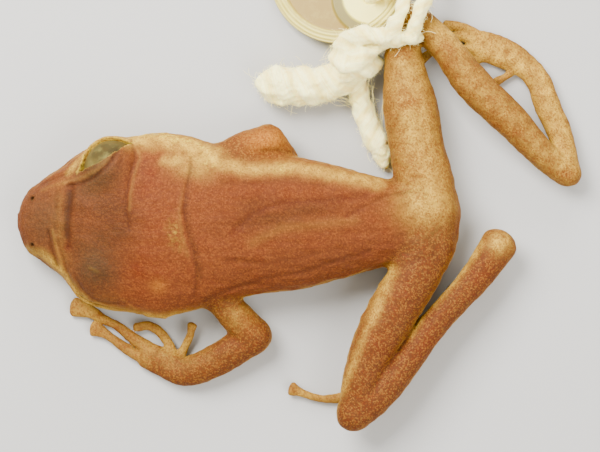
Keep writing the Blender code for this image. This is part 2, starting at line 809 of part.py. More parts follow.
def wrap_rows():
    place = Matrix.Translation(CORD_WRAP_AT) @ facing(CORD_WRAP_WAY)
    rows = []
    for i in range(25):
        turn = 2 * math.pi * i / 24
        across, along = CORD_WRAP_HALF
        point = place @ Vector((across * math.cos(turn), along * math.sin(turn), 0))
        rows.append((*point, CORD_THICK))
    return rows


# A closed ring, a little thicker than the turn of cord, that clears room for it.
def wrap_room(sides=10):
    middle = Vector(CORD_WRAP_AT)
    across = Vector(CORD_WRAP_WAY).normalized() * (CORD_THICK + GAP)
    loops = []
    for row in wrap_rows()[:-1]:
        centre = Vector(row[:3])
        out = (centre - middle).normalized() * (CORD_THICK + GAP)
        loops.append(ellipse(centre, out, across, sides))
    return loft_ring("room", loops)


# The knot: rounded turns of cord and the strand that crosses to the knee.
def knot_solid(by=0.0):
    knot = make_cord("knot", grown(KNOT_BRIDGE, by))
    for centre, radii in KNOT_BALLS:
        combine(knot, [make_ball("turn", centre, [r + by for r in radii], rings=10, sides=14)], "UNION")
    return knot


def make_cords(cotton, card):
    wraps = []
    for start in (0, 12):
        wraps.append(make_cord("wrap", wrap_rows()[start : start + 13], steps=12))
    for wrap, way in zip(wraps, (-1, 1)):
        trim(wrap, CORD_WRAP_AT, (0, 0, way))
    knot = knot_solid()
    tag_room = make_disc("room", TAG_RADIUS + GAP, -GAP, TAG_THICK + GAP)
    combine(knot, [wrap_room(), place_tag(tag_room)], "DIFFERENCE")
    long_end = make_cord("end", CORD_END_LONG, sides=14, steps=16)
    short_end = make_cord("end", CORD_END_SHORT)
    combine(long_end, [knot_solid(GAP)], "DIFFERENCE")
    combine(short_end, [knot_solid(GAP), make_cord("end", grown(CORD_END_LONG, GAP))], "DIFFERENCE")
    over = make_cord("over", CORD_LOOP_OVER)
    under = make_cord("under", CORD_LOOP_UNDER)
    for strand in (over, under):
        combine(strand, [wrap_room(), knot_solid(GAP)], "DIFFERENCE")
    finish(place_tag(tag_solid()), "tag", card)
    finish(knot, "cord_knot", cotton)
    finish(wraps[0], "cord_wrap_over", cotton)
    finish(wraps[1], "cord_wrap_under", cotton)
    finish(long_end, "cord_end_long", cotton)
    finish(short_end, "cord_end_short", cotton)
    finish(over, "cord_loop_over", cotton)
    finish(under, "cord_loop_under", cotton)


def main():
    clear_scene()
    skin = make_material("skin")
    eye = make_material("eye")
    make_cords(make_material("cotton"), make_material("card"))
    body = make_body()
    make_head(body, skin)
    make_trunk(body, skin)
    for side, centre in (("right", EYE_RIGHT), ("left", EYE_LEFT)):
        finish(make_ball("eye", centre, (EYE_RADIUS,) * 3, rings=12, sides=20), "eye_" + side, eye)
    make_arm("left", (ARM_LEFT_UPPER, ARM_LEFT_FORE, HAND_LEFT), FINGERS_LEFT, skin)
    make_arm("right", (ARM_RIGHT_UPPER, ARM_RIGHT_FORE, HAND_RIGHT), FINGERS_RIGHT, skin)
    leg_left = (THIGH_LEFT, SHANK_LEFT, TARSUS_LEFT, FOOT_LEFT)
    leg_right = (THIGH_RIGHT, SHANK_RIGHT, TARSUS_RIGHT, FOOT_RIGHT)
    knee = joint_plane(THIGH_LEFT[-2], THIGH_LEFT[-1], SHANK_LEFT[2])
    cuts_left = (HIP_LEFT, knee, HEEL_LEFT_CUT)
    cuts_right = (HIP_RIGHT, KNEE_RIGHT_CUT, HEEL_RIGHT_CUT)
    make_leg("left", body, leg_left, TOES_LEFT, cuts_left, skin)
    make_leg("right", body, leg_right, TOES_RIGHT, cuts_right, skin)
    bpy.data.objects.remove(body, do_unlink=True)


main()
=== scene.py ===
# A preserved young robber frog with a cotton tie and a blank tag, dressed over its solids.
import math
from itertools import product

import bmesh
import bpy
import numpy as np
from mathutils import Matrix, Vector


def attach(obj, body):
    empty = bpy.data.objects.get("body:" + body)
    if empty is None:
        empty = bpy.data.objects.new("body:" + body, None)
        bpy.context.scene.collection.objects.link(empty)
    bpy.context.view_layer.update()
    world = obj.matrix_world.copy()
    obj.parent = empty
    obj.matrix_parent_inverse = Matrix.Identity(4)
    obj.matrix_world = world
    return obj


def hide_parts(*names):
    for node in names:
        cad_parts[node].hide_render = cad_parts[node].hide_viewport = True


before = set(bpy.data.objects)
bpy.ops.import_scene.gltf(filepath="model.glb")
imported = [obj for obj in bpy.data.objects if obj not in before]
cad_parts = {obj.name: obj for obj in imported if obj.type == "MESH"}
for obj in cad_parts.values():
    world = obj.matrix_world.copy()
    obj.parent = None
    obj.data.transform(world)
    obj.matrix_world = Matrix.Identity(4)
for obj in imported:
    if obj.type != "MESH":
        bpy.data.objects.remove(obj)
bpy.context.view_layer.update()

# Everything below is worked out in millimetres, then scaled to metres and shifted so that
# it stands over the solids.
mm = 0.001
toMiddle = (0.02, -0.02, 0.0)
scene = bpy.context.scene


def linear(hexCode):
    made = []
    for i in (0, 2, 4):
        level = int(hexCode[i : i + 2], 16) / 255
        made.append(level / 12.92 if level <= 0.04045 else ((level + 0.055) / 1.055) ** 2.4)
    return (*made, 1.0)


def smoothStep(low, high, value):
    share = np.clip((value - low) / (high - low), 0, 1)
    return share * share * (3 - 2 * share)


def bell(value, width):
    return np.exp(-((value / width) ** 2))


# A form is where its field is below zero, and the value is close to a distance.
class Region:
    def __init__(self, axes, low, high):
        self.slices = tuple(
            slice(max(int(np.searchsorted(axis, lo)) - 1, 0), int(np.searchsorted(axis, hi)) + 1)
            for axis, lo, hi in zip(axes, low, high)
        )
        cut = [axis[part] for axis, part in zip(axes, self.slices)]
        self.x = cut[0][:, None, None]
        self.y = cut[1][None, :, None]
        self.z = cut[2][None, None, :]
        self.shape = tuple(len(c) for c in cut)


class Volume:
    def __init__(self, low, high, step):
        self.low = np.array(low)
        self.step = step
        self.axes = [np.arange(lo, hi, step, dtype=np.float32) for lo, hi in zip(low, high)]
        self.all = Region(self.axes, low, high)
        self.field = np.full(self.all.shape, 9.0, np.float32)

    def region(self, low, high):
        return Region(self.axes, low, high)

    def around(self, centre, reach):
        return Region(self.axes, [c - reach for c in centre], [c + reach for c in centre])

    def join(self, region, other, blend):
        here = self.field[region.slices]
        share = np.clip(0.5 + 0.5 * (other - here) / blend, 0, 1)
        self.field[region.slices] = other * (1 - share) + here * share - blend * share * (1 - share)

    def carve(self, region, other, blend):
        here = self.field[region.slices]
        share = np.clip(0.5 - 0.5 * (-other - here) / blend, 0, 1)
        self.field[region.slices] = -other * (1 - share) + here * share + blend * share * (1 - share)

    def push(self, region, depth):
        self.field[region.slices] += depth

    # Seeded waves over the whole form: the seed, length and height of each kind.
    def roughen(self, kinds):
        r = self.all
        for seed, length, height in kinds:
            self.push(r, (height * waves(seed, length, r.x, r.y, r.z)).astype(np.float32))

    def cutBelow(self, floor):
        self.field = np.maximum(self.field, floor - self.all.z)


# Rows evenly spaced along a smooth line through the given rows.
def through(rows, steps):
    rows = np.array(rows, float)
    gaps = np.linalg.norm(np.diff(rows[:, :3], axis=0), axis=1)
    marks = np.concatenate([[0], np.cumsum(gaps)])
    if len(rows) > 2:
        slopes = np.gradient(rows, marks, axis=0)
    else:
        slopes = np.repeat((rows[1:] - rows[:1]) / gaps[0], 2, axis=0)
    at = np.linspace(0, marks[-1], steps + 1)
    span = np.clip(np.searchsorted(marks, at, side="right") - 1, 0, len(rows) - 2)
    length = (marks[span + 1] - marks[span])[:, None]
    t = (at - marks[span])[:, None] / length
    return (
        (2 * t**3 - 3 * t**2 + 1) * rows[span]
        + (t**3 - 2 * t**2 + t) * slopes[span] * length
        + (3 * t**2 - 2 * t**3) * rows[span + 1]
        + (t**3 - t**2) * slopes[span + 1] * length
    )


# How far each point is from a flattened tube, whose rows hold x, y, z, half width, half height.
def tubeValue(fine, x, y, z):
    value = None
    for a, b in zip(fine, fine[1:]):
        along = b[:3] - a[:3]
        length = np.linalg.norm(along)
        along = along / length
        side = np.cross(along, (0, 0, 1))
        side /= max(np.linalg.norm(side), 1e-6)
        rise = np.cross(side, along)
        px, py, pz = x - a[0], y - a[1], z - a[2]
        run = px * along[0] + py * along[1] + pz * along[2]
        held = np.clip(run, 0, length)
        share = held / length
        wide = a[3] + (b[3] - a[3]) * share
        tall = a[4] + (b[4] - a[4]) * share
        least = np.minimum(wide, tall)
        qs = px * side[0] + py * side[1] + pz * side[2]
        qr = px * rise[0] + py * rise[1] + pz * rise[2]
        qa = run - held
        near = np.sqrt((qs / wide) ** 2 + (qr / tall) ** 2 + (qa / least) ** 2)
        steep = np.sqrt((qs / wide**2) ** 2 + (qr / tall**2) ** 2 + (qa / least**2) ** 2)
        piece = near * (near - 1) / np.maximum(steep, 1e-4)
        value = piece if value is None else np.minimum(value, piece)
    return value


def addTube(volume, rows, blend, steps, rootBlend=0):
    fine = through(rows, steps)
    reach = fine[:, 3:].max() + 0.7
    region = volume.region(fine[:, :3].min(0) - reach, fine[:, :3].max(0) + reach)
    if rootBlend:  # softer at the root, fading over about 1.5 mm
        root = fine[0]
        far = (region.x - root[0]) ** 2 + (region.y - root[1]) ** 2 + (region.z - root[2]) ** 2
        blend = blend + (rootBlend - blend) * np.exp(-far / 2.2)
    volume.join(region, tubeValue(fine, region.x, region.y, region.z).astype(np.float32), blend)


def ballValue(region, centre, radii, turn=0.0):
    px, py, pz = region.x - centre[0], region.y - centre[1], region.z - centre[2]
    c, s = math.cos(turn), math.sin(turn)
    qx, qy = px * c + py * s, py * c - px * s
    near = np.sqrt((qx / radii[0]) ** 2 + (qy / radii[1]) ** 2 + (pz / radii[2]) ** 2)
    steep = np.sqrt((qx / radii[0] ** 2) ** 2 + (qy / radii[1] ** 2) ** 2 + (pz / radii[2] ** 2) ** 2)
    return near * (near - 1) / np.maximum(steep, 1e-4)


def addBall(volume, centre, radii, blend):
    region = volume.around(centre, max(radii) + 0.7)
    volume.join(region, ballValue(region, centre, radii), blend)


# The shortest way in plan from each point to a line through the given points.
def planDistance(x, y, line):
    best = np.full(np.broadcast(x, y).shape, 99.0, np.float32)
    for (ax, ay), (bx, by) in zip(line, line[1:]):
        dx, dy = bx - ax, by - ay
        share = np.clip(((x - ax) * dx + (y - ay) * dy) / (dx * dx + dy * dy), 0, 1)
        best = np.minimum(best, np.hypot(x - ax - share * dx, y - ay - share * dy))
    return best


# Seeded waves of about the given length. A squeeze below 1 stretches them along X.
def waves(seed, length, x, y, z, count=9, squeeze=1.0):
    chance = np.random.default_rng(seed)
    total = 0
    for _ in range(count):
        way = chance.normal(size=3)
        way *= 2 * math.pi / length / np.linalg.norm(way) * chance.uniform(0.7, 1.5)
        total = total + np.sin(x * way[0] * squeeze + y * way[1] + z * way[2] + chance.uniform(0, 6.28))
    return total / math.sqrt(count)


# Turns a field into a closed mesh of quads, one point for each cell that the surface crosses.
def surfaceNet(volume):
    field = volume.field
    inside = field < 0
    shape = tuple(n - 1 for n in field.shape)
    count = np.zeros(shape, np.int8)
    for a, b, c in product((0, 1), repeat=3):
        count += inside[a : a + shape[0], b : b + shape[1], c : c + shape[2]]
    active = (count > 0) & (count < 8)
    cells = np.argwhere(active)
    number = np.full(shape, -1, np.int32)
    number[active] = np.arange(len(cells))
    total = np.zeros((len(cells), 3))
    hits = np.zeros(len(cells))
    unit = np.eye(3, dtype=int)
    for axis in range(3):
        for a, b in product((0, 1), repeat=2):
            offset = a * unit[(axis + 1) % 3] + b * unit[(axis + 2) % 3]
            v0 = field[tuple((cells + offset).T)]
            v1 = field[tuple((cells + offset + unit[axis]).T)]
            crossed = (v0 < 0) != (v1 < 0)
            share = v0[crossed] / (v0[crossed] - v1[crossed])
            total[crossed] += offset + share[:, None] * unit[axis]
            hits[crossed] += 1
    points = volume.low + volume.step * (cells + total / hits[:, None])
    quads = []
    for axis in range(3):
        u, v = unit[(axis + 1) % 3], unit[(axis + 2) % 3]
        before = inside[tuple(slice(0, n - s) for n, s in zip(inside.shape, unit[axis]))]
        after = inside[tuple(slice(s, None) for s in unit[axis])]
        for starts, order in ((before & ~after, (0, 1, 2, 3)), (~before & after, (3, 2, 1, 0))):
            at = np.argwhere(starts)
            ring = [number[tuple((at - a * u - b * v).T)] for a, b in ((1, 1), (0, 1), (0, 0), (1, 0))]
            quads.append(np.stack([ring[i] for i in order], axis=1))
    return points, np.concatenate(quads)


def newObject(name, mesh):
    made = bpy.data.objects.new(name, mesh)
    scene.collection.objects.link(made)
    return made


def meshObject(name, points, faces):
    mesh = bpy.data.meshes.new(name)
    count, sides = faces.shape
    mesh.vertices.add(len(points))
    mesh.vertices.foreach_set("co", np.ascontiguousarray(points, np.float32).ravel())
    mesh.loops.add(count * sides)
    mesh.loops.foreach_set("vertex_index", np.ascontiguousarray(faces, np.int32).ravel())
    mesh.polygons.add(count)
    mesh.polygons.foreach_set("loop_start", np.arange(0, count * sides, sides, dtype=np.int32))
    mesh.update(calc_edges=True)
    mesh.validate()
    mesh.shade_smooth()
    return newObject(name, mesh)


# Gives the object the mesh that its modifiers make, and takes them off.
def bakeModifiers(piece):
    graph = bpy.context.evaluated_depsgraph_get()
    baked = bpy.data.meshes.new_from_object(piece.evaluated_get(graph))
    piece.modifiers.clear()
    piece.data = baked
    return piece


# Caps the open ends and the small holes of a mesh.
def closeHoles(mesh):
    shell = bmesh.new()
    shell.from_mesh(mesh)
    rims = [edge for edge in shell.edges if edge.is_boundary]
    bmesh.ops.holes_fill(shell, edges=rims, sides=0)
    shell.to_mesh(mesh)
    shell.free()


def relaxAndThin(piece, rounds, mostTriangles):
    relax = piece.modifiers.new("relax", "SMOOTH")
    relax.factor = 0.5
    relax.iterations = rounds
    share = mostTriangles / (2 * len(piece.data.polygons))
    if share < 1:
        thin = piece.modifiers.new("thin", "DECIMATE")
        thin.ratio = share
    bakeModifiers(piece)
    closeHoles(piece.data)
    piece.data.shade_smooth()
    return piece


def toMetres(piece):
    piece.data.transform(Matrix.Scale(mm, 4) @ Matrix.Translation(toMiddle))
    return piece


def coordinatesOf(mesh):
    spots = np.empty(len(mesh.vertices) * 3, np.float32)
    mesh.vertices.foreach_get("co", spots)
    return spots.reshape(-1, 3).astype(float)


def normalsOf(mesh):
    out = np.empty(len(mesh.vertices) * 3, np.float32)
    mesh.vertex_normals.foreach_get("vector", out)
    return out.reshape(-1, 3)


def setAttribute(mesh, name, values):
    layer = mesh.attributes.new(name, "FLOAT", "POINT")
    layer.data.foreach_set("value", np.ascontiguousarray(np.clip(values, 0, 1), np.float32))


# Gives a mesh's points new places, none of them below the floor.
def movePoints(mesh, points, floor):
    points[:, 2] = np.maximum(points[:, 2], floor)
    mesh.vertices.foreach_set("co", points.astype(np.float32).ravel())
    mesh.update()


body = {
    "snout": -9.45,
    "middle": -1.99,
    # behind the snout, sideways, half width, lowest, widest, highest, slope above, flatness above
    "rows": (
        (0.00, 0.08, 0.30, 0.50, 0.74, 0.94, 1.00, 1.00),
        (0.08, 0.08, 0.54, 0.42, 0.74, 1.08, 1.00, 0.92),
        (0.30, 0.07, 0.92, 0.24, 0.72, 1.32, 1.05, 0.86),
        (0.76, 0.10, 1.30, 0.08, 0.72, 1.58, 1.10, 0.82),
        (1.43, 0.07, 1.80, -0.06, 0.78, 1.90, 1.15, 0.80),
        (2.10, -0.01, 2.39, -0.10, 0.85, 2.14, 1.15, 0.80),
        (2.90, -0.02, 2.79, -0.10, 0.92, 2.34, 1.10, 0.82),
        (3.80, 0.00, 2.93, -0.10, 0.98, 2.48, 1.05, 0.85),
        (4.80, -0.04, 3.10, 0.04, 1.08, 2.60, 1.00, 0.88),
        (5.60, 0.00, 2.96, 0.34, 1.14, 2.64, 1.00, 0.90),
        (6.60, -0.02, 2.68, 0.62, 1.22, 2.64, 1.00, 0.90),
        (8.00, 0.00, 2.34, 0.66, 1.22, 2.52, 0.96, 0.90),
        (9.40, 0.02, 2.20, 0.58, 1.20, 2.42, 0.94, 0.88),
        (10.80, 0.04, 1.86, -0.12, 1.08, 2.32, 0.92, 0.86),
        (12.40, 0.06, 1.44, -0.10, 1.04, 2.14, 0.92, 0.86),
        (13.60, 0.06, 1.28, 0.20, 0.98, 1.80, 0.92, 0.90),
        (14.30, 0.08, 1.00, 0.42, 0.94, 1.50, 0.92, 0.95),
        (14.62, 0.08, 0.50, 0.70, 0.92, 1.16, 1.00, 1.00),
    ),
    "rump": ((4.30, -1.94, 1.02), (0.92, 1.30, 0.86)),
    "underSlope": 0.78,
    "underFlatness": 0.72,
    "steepest": 2.6,
}

eyes = {
    # which way it looks, the half length and half height of its opening, where it is darkest
    "right": {
        "at": (-6.22, -0.17, 1.36),
        "radius": 0.98,
        "look": (-0.38, 0.64, 0.66),
        "slit": (0.98, 0.50),
        "dark": (0.22, 0.40, 0.88),
    },
    "left": {
        "at": (-6.60, -3.57, 1.10),
        "radius": 0.98,
        "look": (-0.42, -0.86, 0.28),
        "slit": (0.74, 0.13),
        "dark": (-0.42, -0.86, 0.28),
    },
    "lid": 0.13,
    # the lid margin: how high it stands, how far outside the opening, its half width
    "margin": (0.045, 0.06, 0.07),
    "round": 64,
    "rings": 40,
    # how dark, full within and gone beyond these shares of the radius
    "shade": (0.9, 0.10, 0.95),
    "pupil": (0.55, 0.24, 0.36),
    "pupilLong": 0.75,
}

# Each limb from the body outward, length by length: x, y, z, half width, half height.
limbs = {
    "armLeft": (
        (
            (-3.05, -4.06, 1.14, 0.50, 0.52),
            (-2.48, -4.72, 0.98, 0.54, 0.55),
            (-1.55, -5.74, 0.72, 0.57, 0.56),
        ),
        (
            (-1.55, -5.74, 0.72, 0.57, 0.56),
            (-2.50, -6.38, 0.60, 0.55, 0.50),
            (-3.50, -6.88, 0.48, 0.53, 0.42),
            (-3.86, -6.98, 0.42, 0.50, 0.38),
            (-4.62, -6.66, 0.30, 0.50, 0.28),
            (-5.24, -6.40, 0.24, 0.44, 0.22),
        ),
    ),
    "armRight": (
        (
            (-2.90, -0.30, 1.26, 0.54, 0.56),
            (-2.10, 0.38, 1.15, 0.60, 0.60),
            (-1.12, 0.69, 1.02, 0.64, 0.60),
        ),
        (
            (-1.12, 0.69, 1.02, 0.62, 0.60),
            (-0.60, 0.04, 0.74, 0.56, 0.52),
            (-0.42, -0.88, 0.42, 0.48, 0.36),
            (-0.72, -1.84, 0.24, 0.40, 0.25),
            (-1.30, -2.14, 0.22, 0.44, 0.24),
            (-1.90, -2.24, 0.20, 0.40, 0.22),
        ),
    ),
    "legLeft": (
        (
            (4.27, -2.66, 1.14, 0.90, 0.82),
            (3.62, -4.00, 1.30, 0.84, 0.84),
            (3.08, -4.86, 1.42, 0.84, 0.80),
            (2.28, -6.36, 1.46, 0.70, 0.72),
            (1.76, -8.29, 1.34, 0.56, 0.60),
        ),
        (
            (1.78, -8.29, 1.34, 0.58, 0.62),
            (2.43, -7.82, 1.34, 0.56, 0.62),
            (3.30, -6.85, 1.32, 0.51, 0.60),
            (4.32, -5.47, 1.26, 0.49, 0.56),
            (5.71, -3.93, 1.14, 0.50, 0.50),
            (6.63, -2.69, 0.98, 0.63, 0.52),
        ),
        (
            (6.52, -2.78, 0.86, 0.50, 0.48),
            (6.13, -3.35, 0.44, 0.42, 0.32),
            (5.23, -4.41, 0.30, 0.38, 0.26),
            (4.24, -5.45, 0.24, 0.38, 0.25),
            (3.46, -6.09, 0.22, 0.46, 0.23),
            (2.86, -6.78, 0.20, 0.48, 0.21),
        ),
    ),
    "legRight": (
        (
            (4.22, -1.60, 1.10, 1.02, 0.82),
            (4.12, -0.66, 1.10, 1.00, 0.84),
            (3.92, 0.40, 1.08, 0.94, 0.84),
            (3.63, 2.06, 1.04, 0.88, 0.82),
            (3.50, 3.10, 1.06, 0.72, 0.72),
            (3.44, 4.00, 1.12, 0.56, 0.60),
            (3.78, 4.84, 1.18, 0.50, 0.56),
        ),
        (
            (3.78, 4.84, 1.18, 0.50, 0.56),
            (4.60, 4.14, 1.20, 0.50, 0.56),
            (5.75, 2.70, 1.20, 0.61, 0.60),
            (6.94, 1.54, 1.10, 0.57, 0.56),
            (8.25, 0.24, 0.84, 0.47, 0.50),
            (8.97, -0.28, 0.66, 0.46, 0.48),
        ),
        (
            (8.96, -0.24, 0.66, 0.44, 0.48),
            (8.75, 0.98, 0.46, 0.43, 0.38),
            (8.34, 2.00, 0.38, 0.43, 0.34),
            (7.90, 3.06, 0.29, 0.42, 0.30),
            (7.06, 3.70, 0.24, 0.50, 0.24),
            (6.07, 4.07, 0.20, 0.52, 0.21),
        ),
    ),
}

# Fingers and toes, each from its root to its tip, in the same five numbers.
digits = (
    # left hand, from the first finger outward
    (
        (-4.15, -6.62, 0.24, 0.20, 0.18),
        (-3.86, -6.02, 0.30, 0.14, 0.13),
        (-3.70, -5.62, 0.40, 0.14, 0.12),
        (-3.66, -5.42, 0.42, 0.18, 0.13),
    ),
    (
        (-4.34, -6.40, 0.24, 0.20, 0.18),
        (-4.50, -5.96, 0.25, 0.17, 0.15),
        (-4.80, -5.58, 0.26, 0.16, 0.14),
        (-5.20, -5.40, 0.25, 0.16, 0.14),
        (-5.54, -5.48, 0.22, 0.17, 0.13),
    ),
    (
        (-5.10, -6.25, 0.22, 0.24, 0.20),
        (-5.46, -5.97, 0.21, 0.21, 0.19),
        (-5.76, -5.76, 0.20, 0.18, 0.17),
        (-6.24, -5.40, 0.19, 0.17, 0.16),
        (-6.73, -5.17, 0.19, 0.17, 0.15),
        (-7.02, -4.99, 0.18, 0.19, 0.15),
        (-7.42, -4.85, 0.17, 0.29, 0.14),
        (-7.66, -4.78, 0.16, 0.31, 0.13),
    ),
    (
        (-5.10, -6.60, 0.21, 0.22, 0.19),
        (-5.54, -6.43, 0.20, 0.17, 0.17),
        (-6.07, -6.08, 0.18, 0.15, 0.16),
        (-6.44, -5.80, 0.18, 0.15, 0.15),
        (-6.78, -5.60, 0.17, 0.21, 0.14),
        (-7.02, -5.54, 0.16, 0.27, 0.13),
    ),
    # right hand
    ((-1.34, -1.86, 0.22, 0.18, 0.17), (-1.50, -1.42, 0.19, 0.14, 0.14), (-1.72, -1.10, 0.18, 0.17, 0.13)),
    ((-1.80, -2.00, 0.21, 0.20, 0.18), (-2.28, -1.72, 0.18, 0.15, 0.14), (-2.72, -1.60, 0.18, 0.18, 0.14)),
    ((-1.90, -2.24, 0.21, 0.21, 0.18), (-2.60, -2.20, 0.18, 0.17, 0.15), (-3.30, -2.22, 0.18, 0.24, 0.15)),
    ((-1.80, -2.46, 0.21, 0.20, 0.18), (-2.26, -2.78, 0.18, 0.16, 0.15), (-2.70, -2.94, 0.18, 0.20, 0.15)),
    # left foot
    ((3.63, -5.79, 0.21, 0.20, 0.18), (3.21, -5.63, 0.18, 0.14, 0.14), (2.87, -5.69, 0.17, 0.18, 0.13)),
    ((3.07, -6.31, 0.21, 0.20, 0.18), (2.53, -6.31, 0.18, 0.15, 0.14), (2.13, -6.43, 0.17, 0.19, 0.13)),
    ((2.89, -6.64, 0.21, 0.20, 0.18), (2.21, -6.98, 0.18, 0.16, 0.14), (1.70, -7.20, 0.17, 0.20, 0.13)),
    (
        (2.72, -6.98, 0.20, 0.22, 0.18),
        (1.90, -7.64, 0.18, 0.18, 0.15),
        (1.10, -7.90, 0.18, 0.17, 0.15),
        (0.58, -7.88, 0.18, 0.15, 0.14),
        (0.12, -7.73, 0.20, 0.16, 0.14),
        (-0.12, -7.62, 0.21, 0.20, 0.14),
        (-0.28, -7.56, 0.22, 0.27, 0.14),
    ),
    ((2.97, -7.06, 0.20, 0.20, 0.18), (2.51, -7.70, 0.18, 0.16, 0.14), (2.11, -8.10, 0.17, 0.20, 0.13)),
    # right foot
    ((7.26, 3.26, 0.22, 0.20, 0.18), (6.95, 3.00, 0.20, 0.14, 0.14), (6.62, 2.84, 0.18, 0.17, 0.13)),
    ((6.26, 3.76, 0.21, 0.20, 0.18), (5.80, 3.46, 0.18, 0.15, 0.14), (5.40, 3.26, 0.17, 0.19, 0.13)),
    ((6.10, 3.95, 0.21, 0.20, 0.18), (5.40, 3.92, 0.18, 0.16, 0.14), (4.90, 3.78, 0.17, 0.20, 0.13)),
    (
        (6.05, 4.16, 0.21, 0.22, 0.18),
        (5.25, 4.36, 0.18, 0.17, 0.15),
        (4.57, 3.94, 0.18, 0.15, 0.14),
        (4.07, 3.56, 0.18, 0.20, 0.14),
    ),
    ((6.10, 4.32, 0.21, 0.20, 0.18), (5.45, 4.70, 0.18, 0.16, 0.14), (4.92, 4.74, 0.17, 0.19, 0.13)),
)

# Creases seen from above: the depth (below zero is a ridge), the half width, how low it reaches,
# and its line in plan.
folds = (
    # the two folds of the right upper lid, and the fold behind the eye
    (0.062, 0.05, 1.2, (-7.69, -0.72), (-7.19, -0.65), (-6.69, -0.42), (-6.25, -0.02), (-5.99, 0.42)),
    (-0.022, 0.08, 1.4, (-7.80, -0.60), (-7.19, -0.45), (-6.69, -0.22), (-6.30, 0.14)),
    (0.040, 0.05, 1.2, (-5.62, 0.80), (-5.42, 0.22), (-5.58, -0.36), (-5.70, -1.00), (-5.72, -1.60),
     (-5.60, -2.15)),
    (-0.025, 0.06, 1.2, (-5.47, 0.76), (-5.27, 0.20), (-5.45, -0.38), (-5.57, -1.00), (-5.60, -1.50)),
    (0.022, 0.05, 1.2, (-6.30, -0.62), (-6.00, -0.20), (-5.84, 0.20)),
    # between the eyes, and along the snout
    (0.055, 0.10, 1.2, (-7.55, -0.75), (-7.59, -1.35), (-7.65, -2.02), (-7.65, -2.72)),
    (0.015, 0.07, 1.2, (-8.02, -0.95), (-8.06, -1.60), (-8.02, -2.30)),
    (0.034, 0.06, 0.9, (-8.62, -0.65), (-8.19, -0.48), (-7.75, -0.32)),
    (-0.019, 0.06, 1.1, (-8.60, -0.86), (-8.15, -0.68), (-7.80, -0.62)),
    (0.050, 0.07, 0.8, (-8.35, -2.25), (-8.25, -2.85), (-8.09, -3.35)),
    (-0.028, 0.06, 0.8, (-8.20, -2.20), (-8.06, -2.80), (-7.92, -3.40)),
    (0.034, 0.06, 0.8, (-8.02, -2.52), (-7.82, -3.25), (-7.62, -3.85), (-7.22, -4.38)),
    (0.031, 0.05, 0.8, (-7.45, -3.68), (-7.19, -4.18), (-6.75, -4.52), (-6.29, -4.62),
     (-5.70, -4.60)),
    (-0.022, 0.05, 0.8, (-5.85, -4.52), (-5.45, -4.85)),
    (-0.019, 0.05, 1.2, (-6.92, -3.42), (-6.66, -3.55)),
    # neck
    (0.037, 0.06, 1.2, (-3.62, 0.20), (-3.62, -0.18), (-3.75, -0.85), (-3.82, -1.52), (-3.69, -2.25),
     (-3.49, -2.85), (-3.39, -3.68), (-3.49, -4.35)),
    (-0.019, 0.09, 1.2, (-3.80, -0.85), (-3.96, -1.60), (-3.90, -2.40), (-3.70, -3.00)),
    # back and flanks
    (0.031, 0.10, 1.6, (-2.19, -2.25), (-1.52, -1.58), (-0.52, -1.28), (0.98, -1.18), (2.15, -1.02)),
    (-0.019, 0.17, 1.6, (-1.60, -2.60), (-0.60, -2.12), (0.60, -2.00), (1.80, -1.85)),
    (0.031, 0.06, 1.3, (1.48, -1.72), (2.15, -1.38), (2.81, -1.05), (3.65, -0.92)),
    (0.034, 0.08, 1.0, (-3.19, -4.52), (-2.19, -4.08), (-1.19, -3.78), (-0.02, -3.58), (0.98, -3.25),
     (2.31, -2.85)),
    (0.022, 0.09, 1.2, (-2.40, -3.10), (-1.40, -3.30), (-0.40, -3.16), (0.60, -2.92)),
    (0.022, 0.09, 1.2, (-2.60, -0.62), (-1.60, -0.66), (-0.40, -0.52), (0.80, -0.72)),
    (0.025, 0.06, 1.2, (4.15, -2.52), (4.65, -2.12)),
    (-0.025, 0.11, 1.2, (3.30, -0.58), (4.31, -0.85), (4.98, -1.38)),
    # elbow, groins
    (0.031, 0.06, 1.0, (-1.29, 0.45), (-0.85, 0.48), (-0.29, 0.42)),
    (0.031, 0.08, 1.2, (2.94, -0.42), (3.40, -0.66), (4.00, -0.76)),
    (0.028, 0.09, 1.2, (3.20, -3.36), (3.80, -3.16), (4.40, -2.98)),
)


def foldValue(fold, x, y, z):
    depth, width, lowest, *line = fold
    return depth * bell(planDistance(x, y, line), width) * smoothStep(lowest, lowest + 0.35, z)


def bodyValue(volume, region):
    rows = np.array(body["rows"])
    flatRows = np.column_stack([rows[:, 0], rows[:, 0] * 0, rows[:, 0] * 0, rows[:, 1:]])
    fine = through(flatRows, 300)
    behind = region.x[:, 0, 0] - body["snout"]
    shift, half, low, wide, top, slope, flat = (
        np.interp(behind, fine[:, 0], fine[:, k])[:, None, None] for k in range(3, 10)
    )
    across = np.abs(region.y - body["middle"] - shift) / half
    above = region.z >= wide
    rise = np.abs(region.z - wide) / np.where(above, top - wide, wide - low)
    sidePower = np.where(above, 2 / slope, 2 / body["underSlope"])
    risePower = np.where(above, 2 / flat, 2 / body["underFlatness"])
    value = np.sqrt(np.minimum(across**sidePower + rise**risePower, 400.0)).astype(np.float32) - 1
    past = np.maximum(np.maximum(-behind, behind - rows[-1, 0]), 0)[:, None, None].astype(np.float32)
    steep = np.sqrt(sum(g * g for g in np.gradient(value, volume.step)))
    value /= np.clip(steep, 0.15, body["steepest"])
    outside = np.maximum(value, 0)
    return np.where(past > 0, np.sqrt(outside * outside + past * past), np.clip(value, -2, 2))


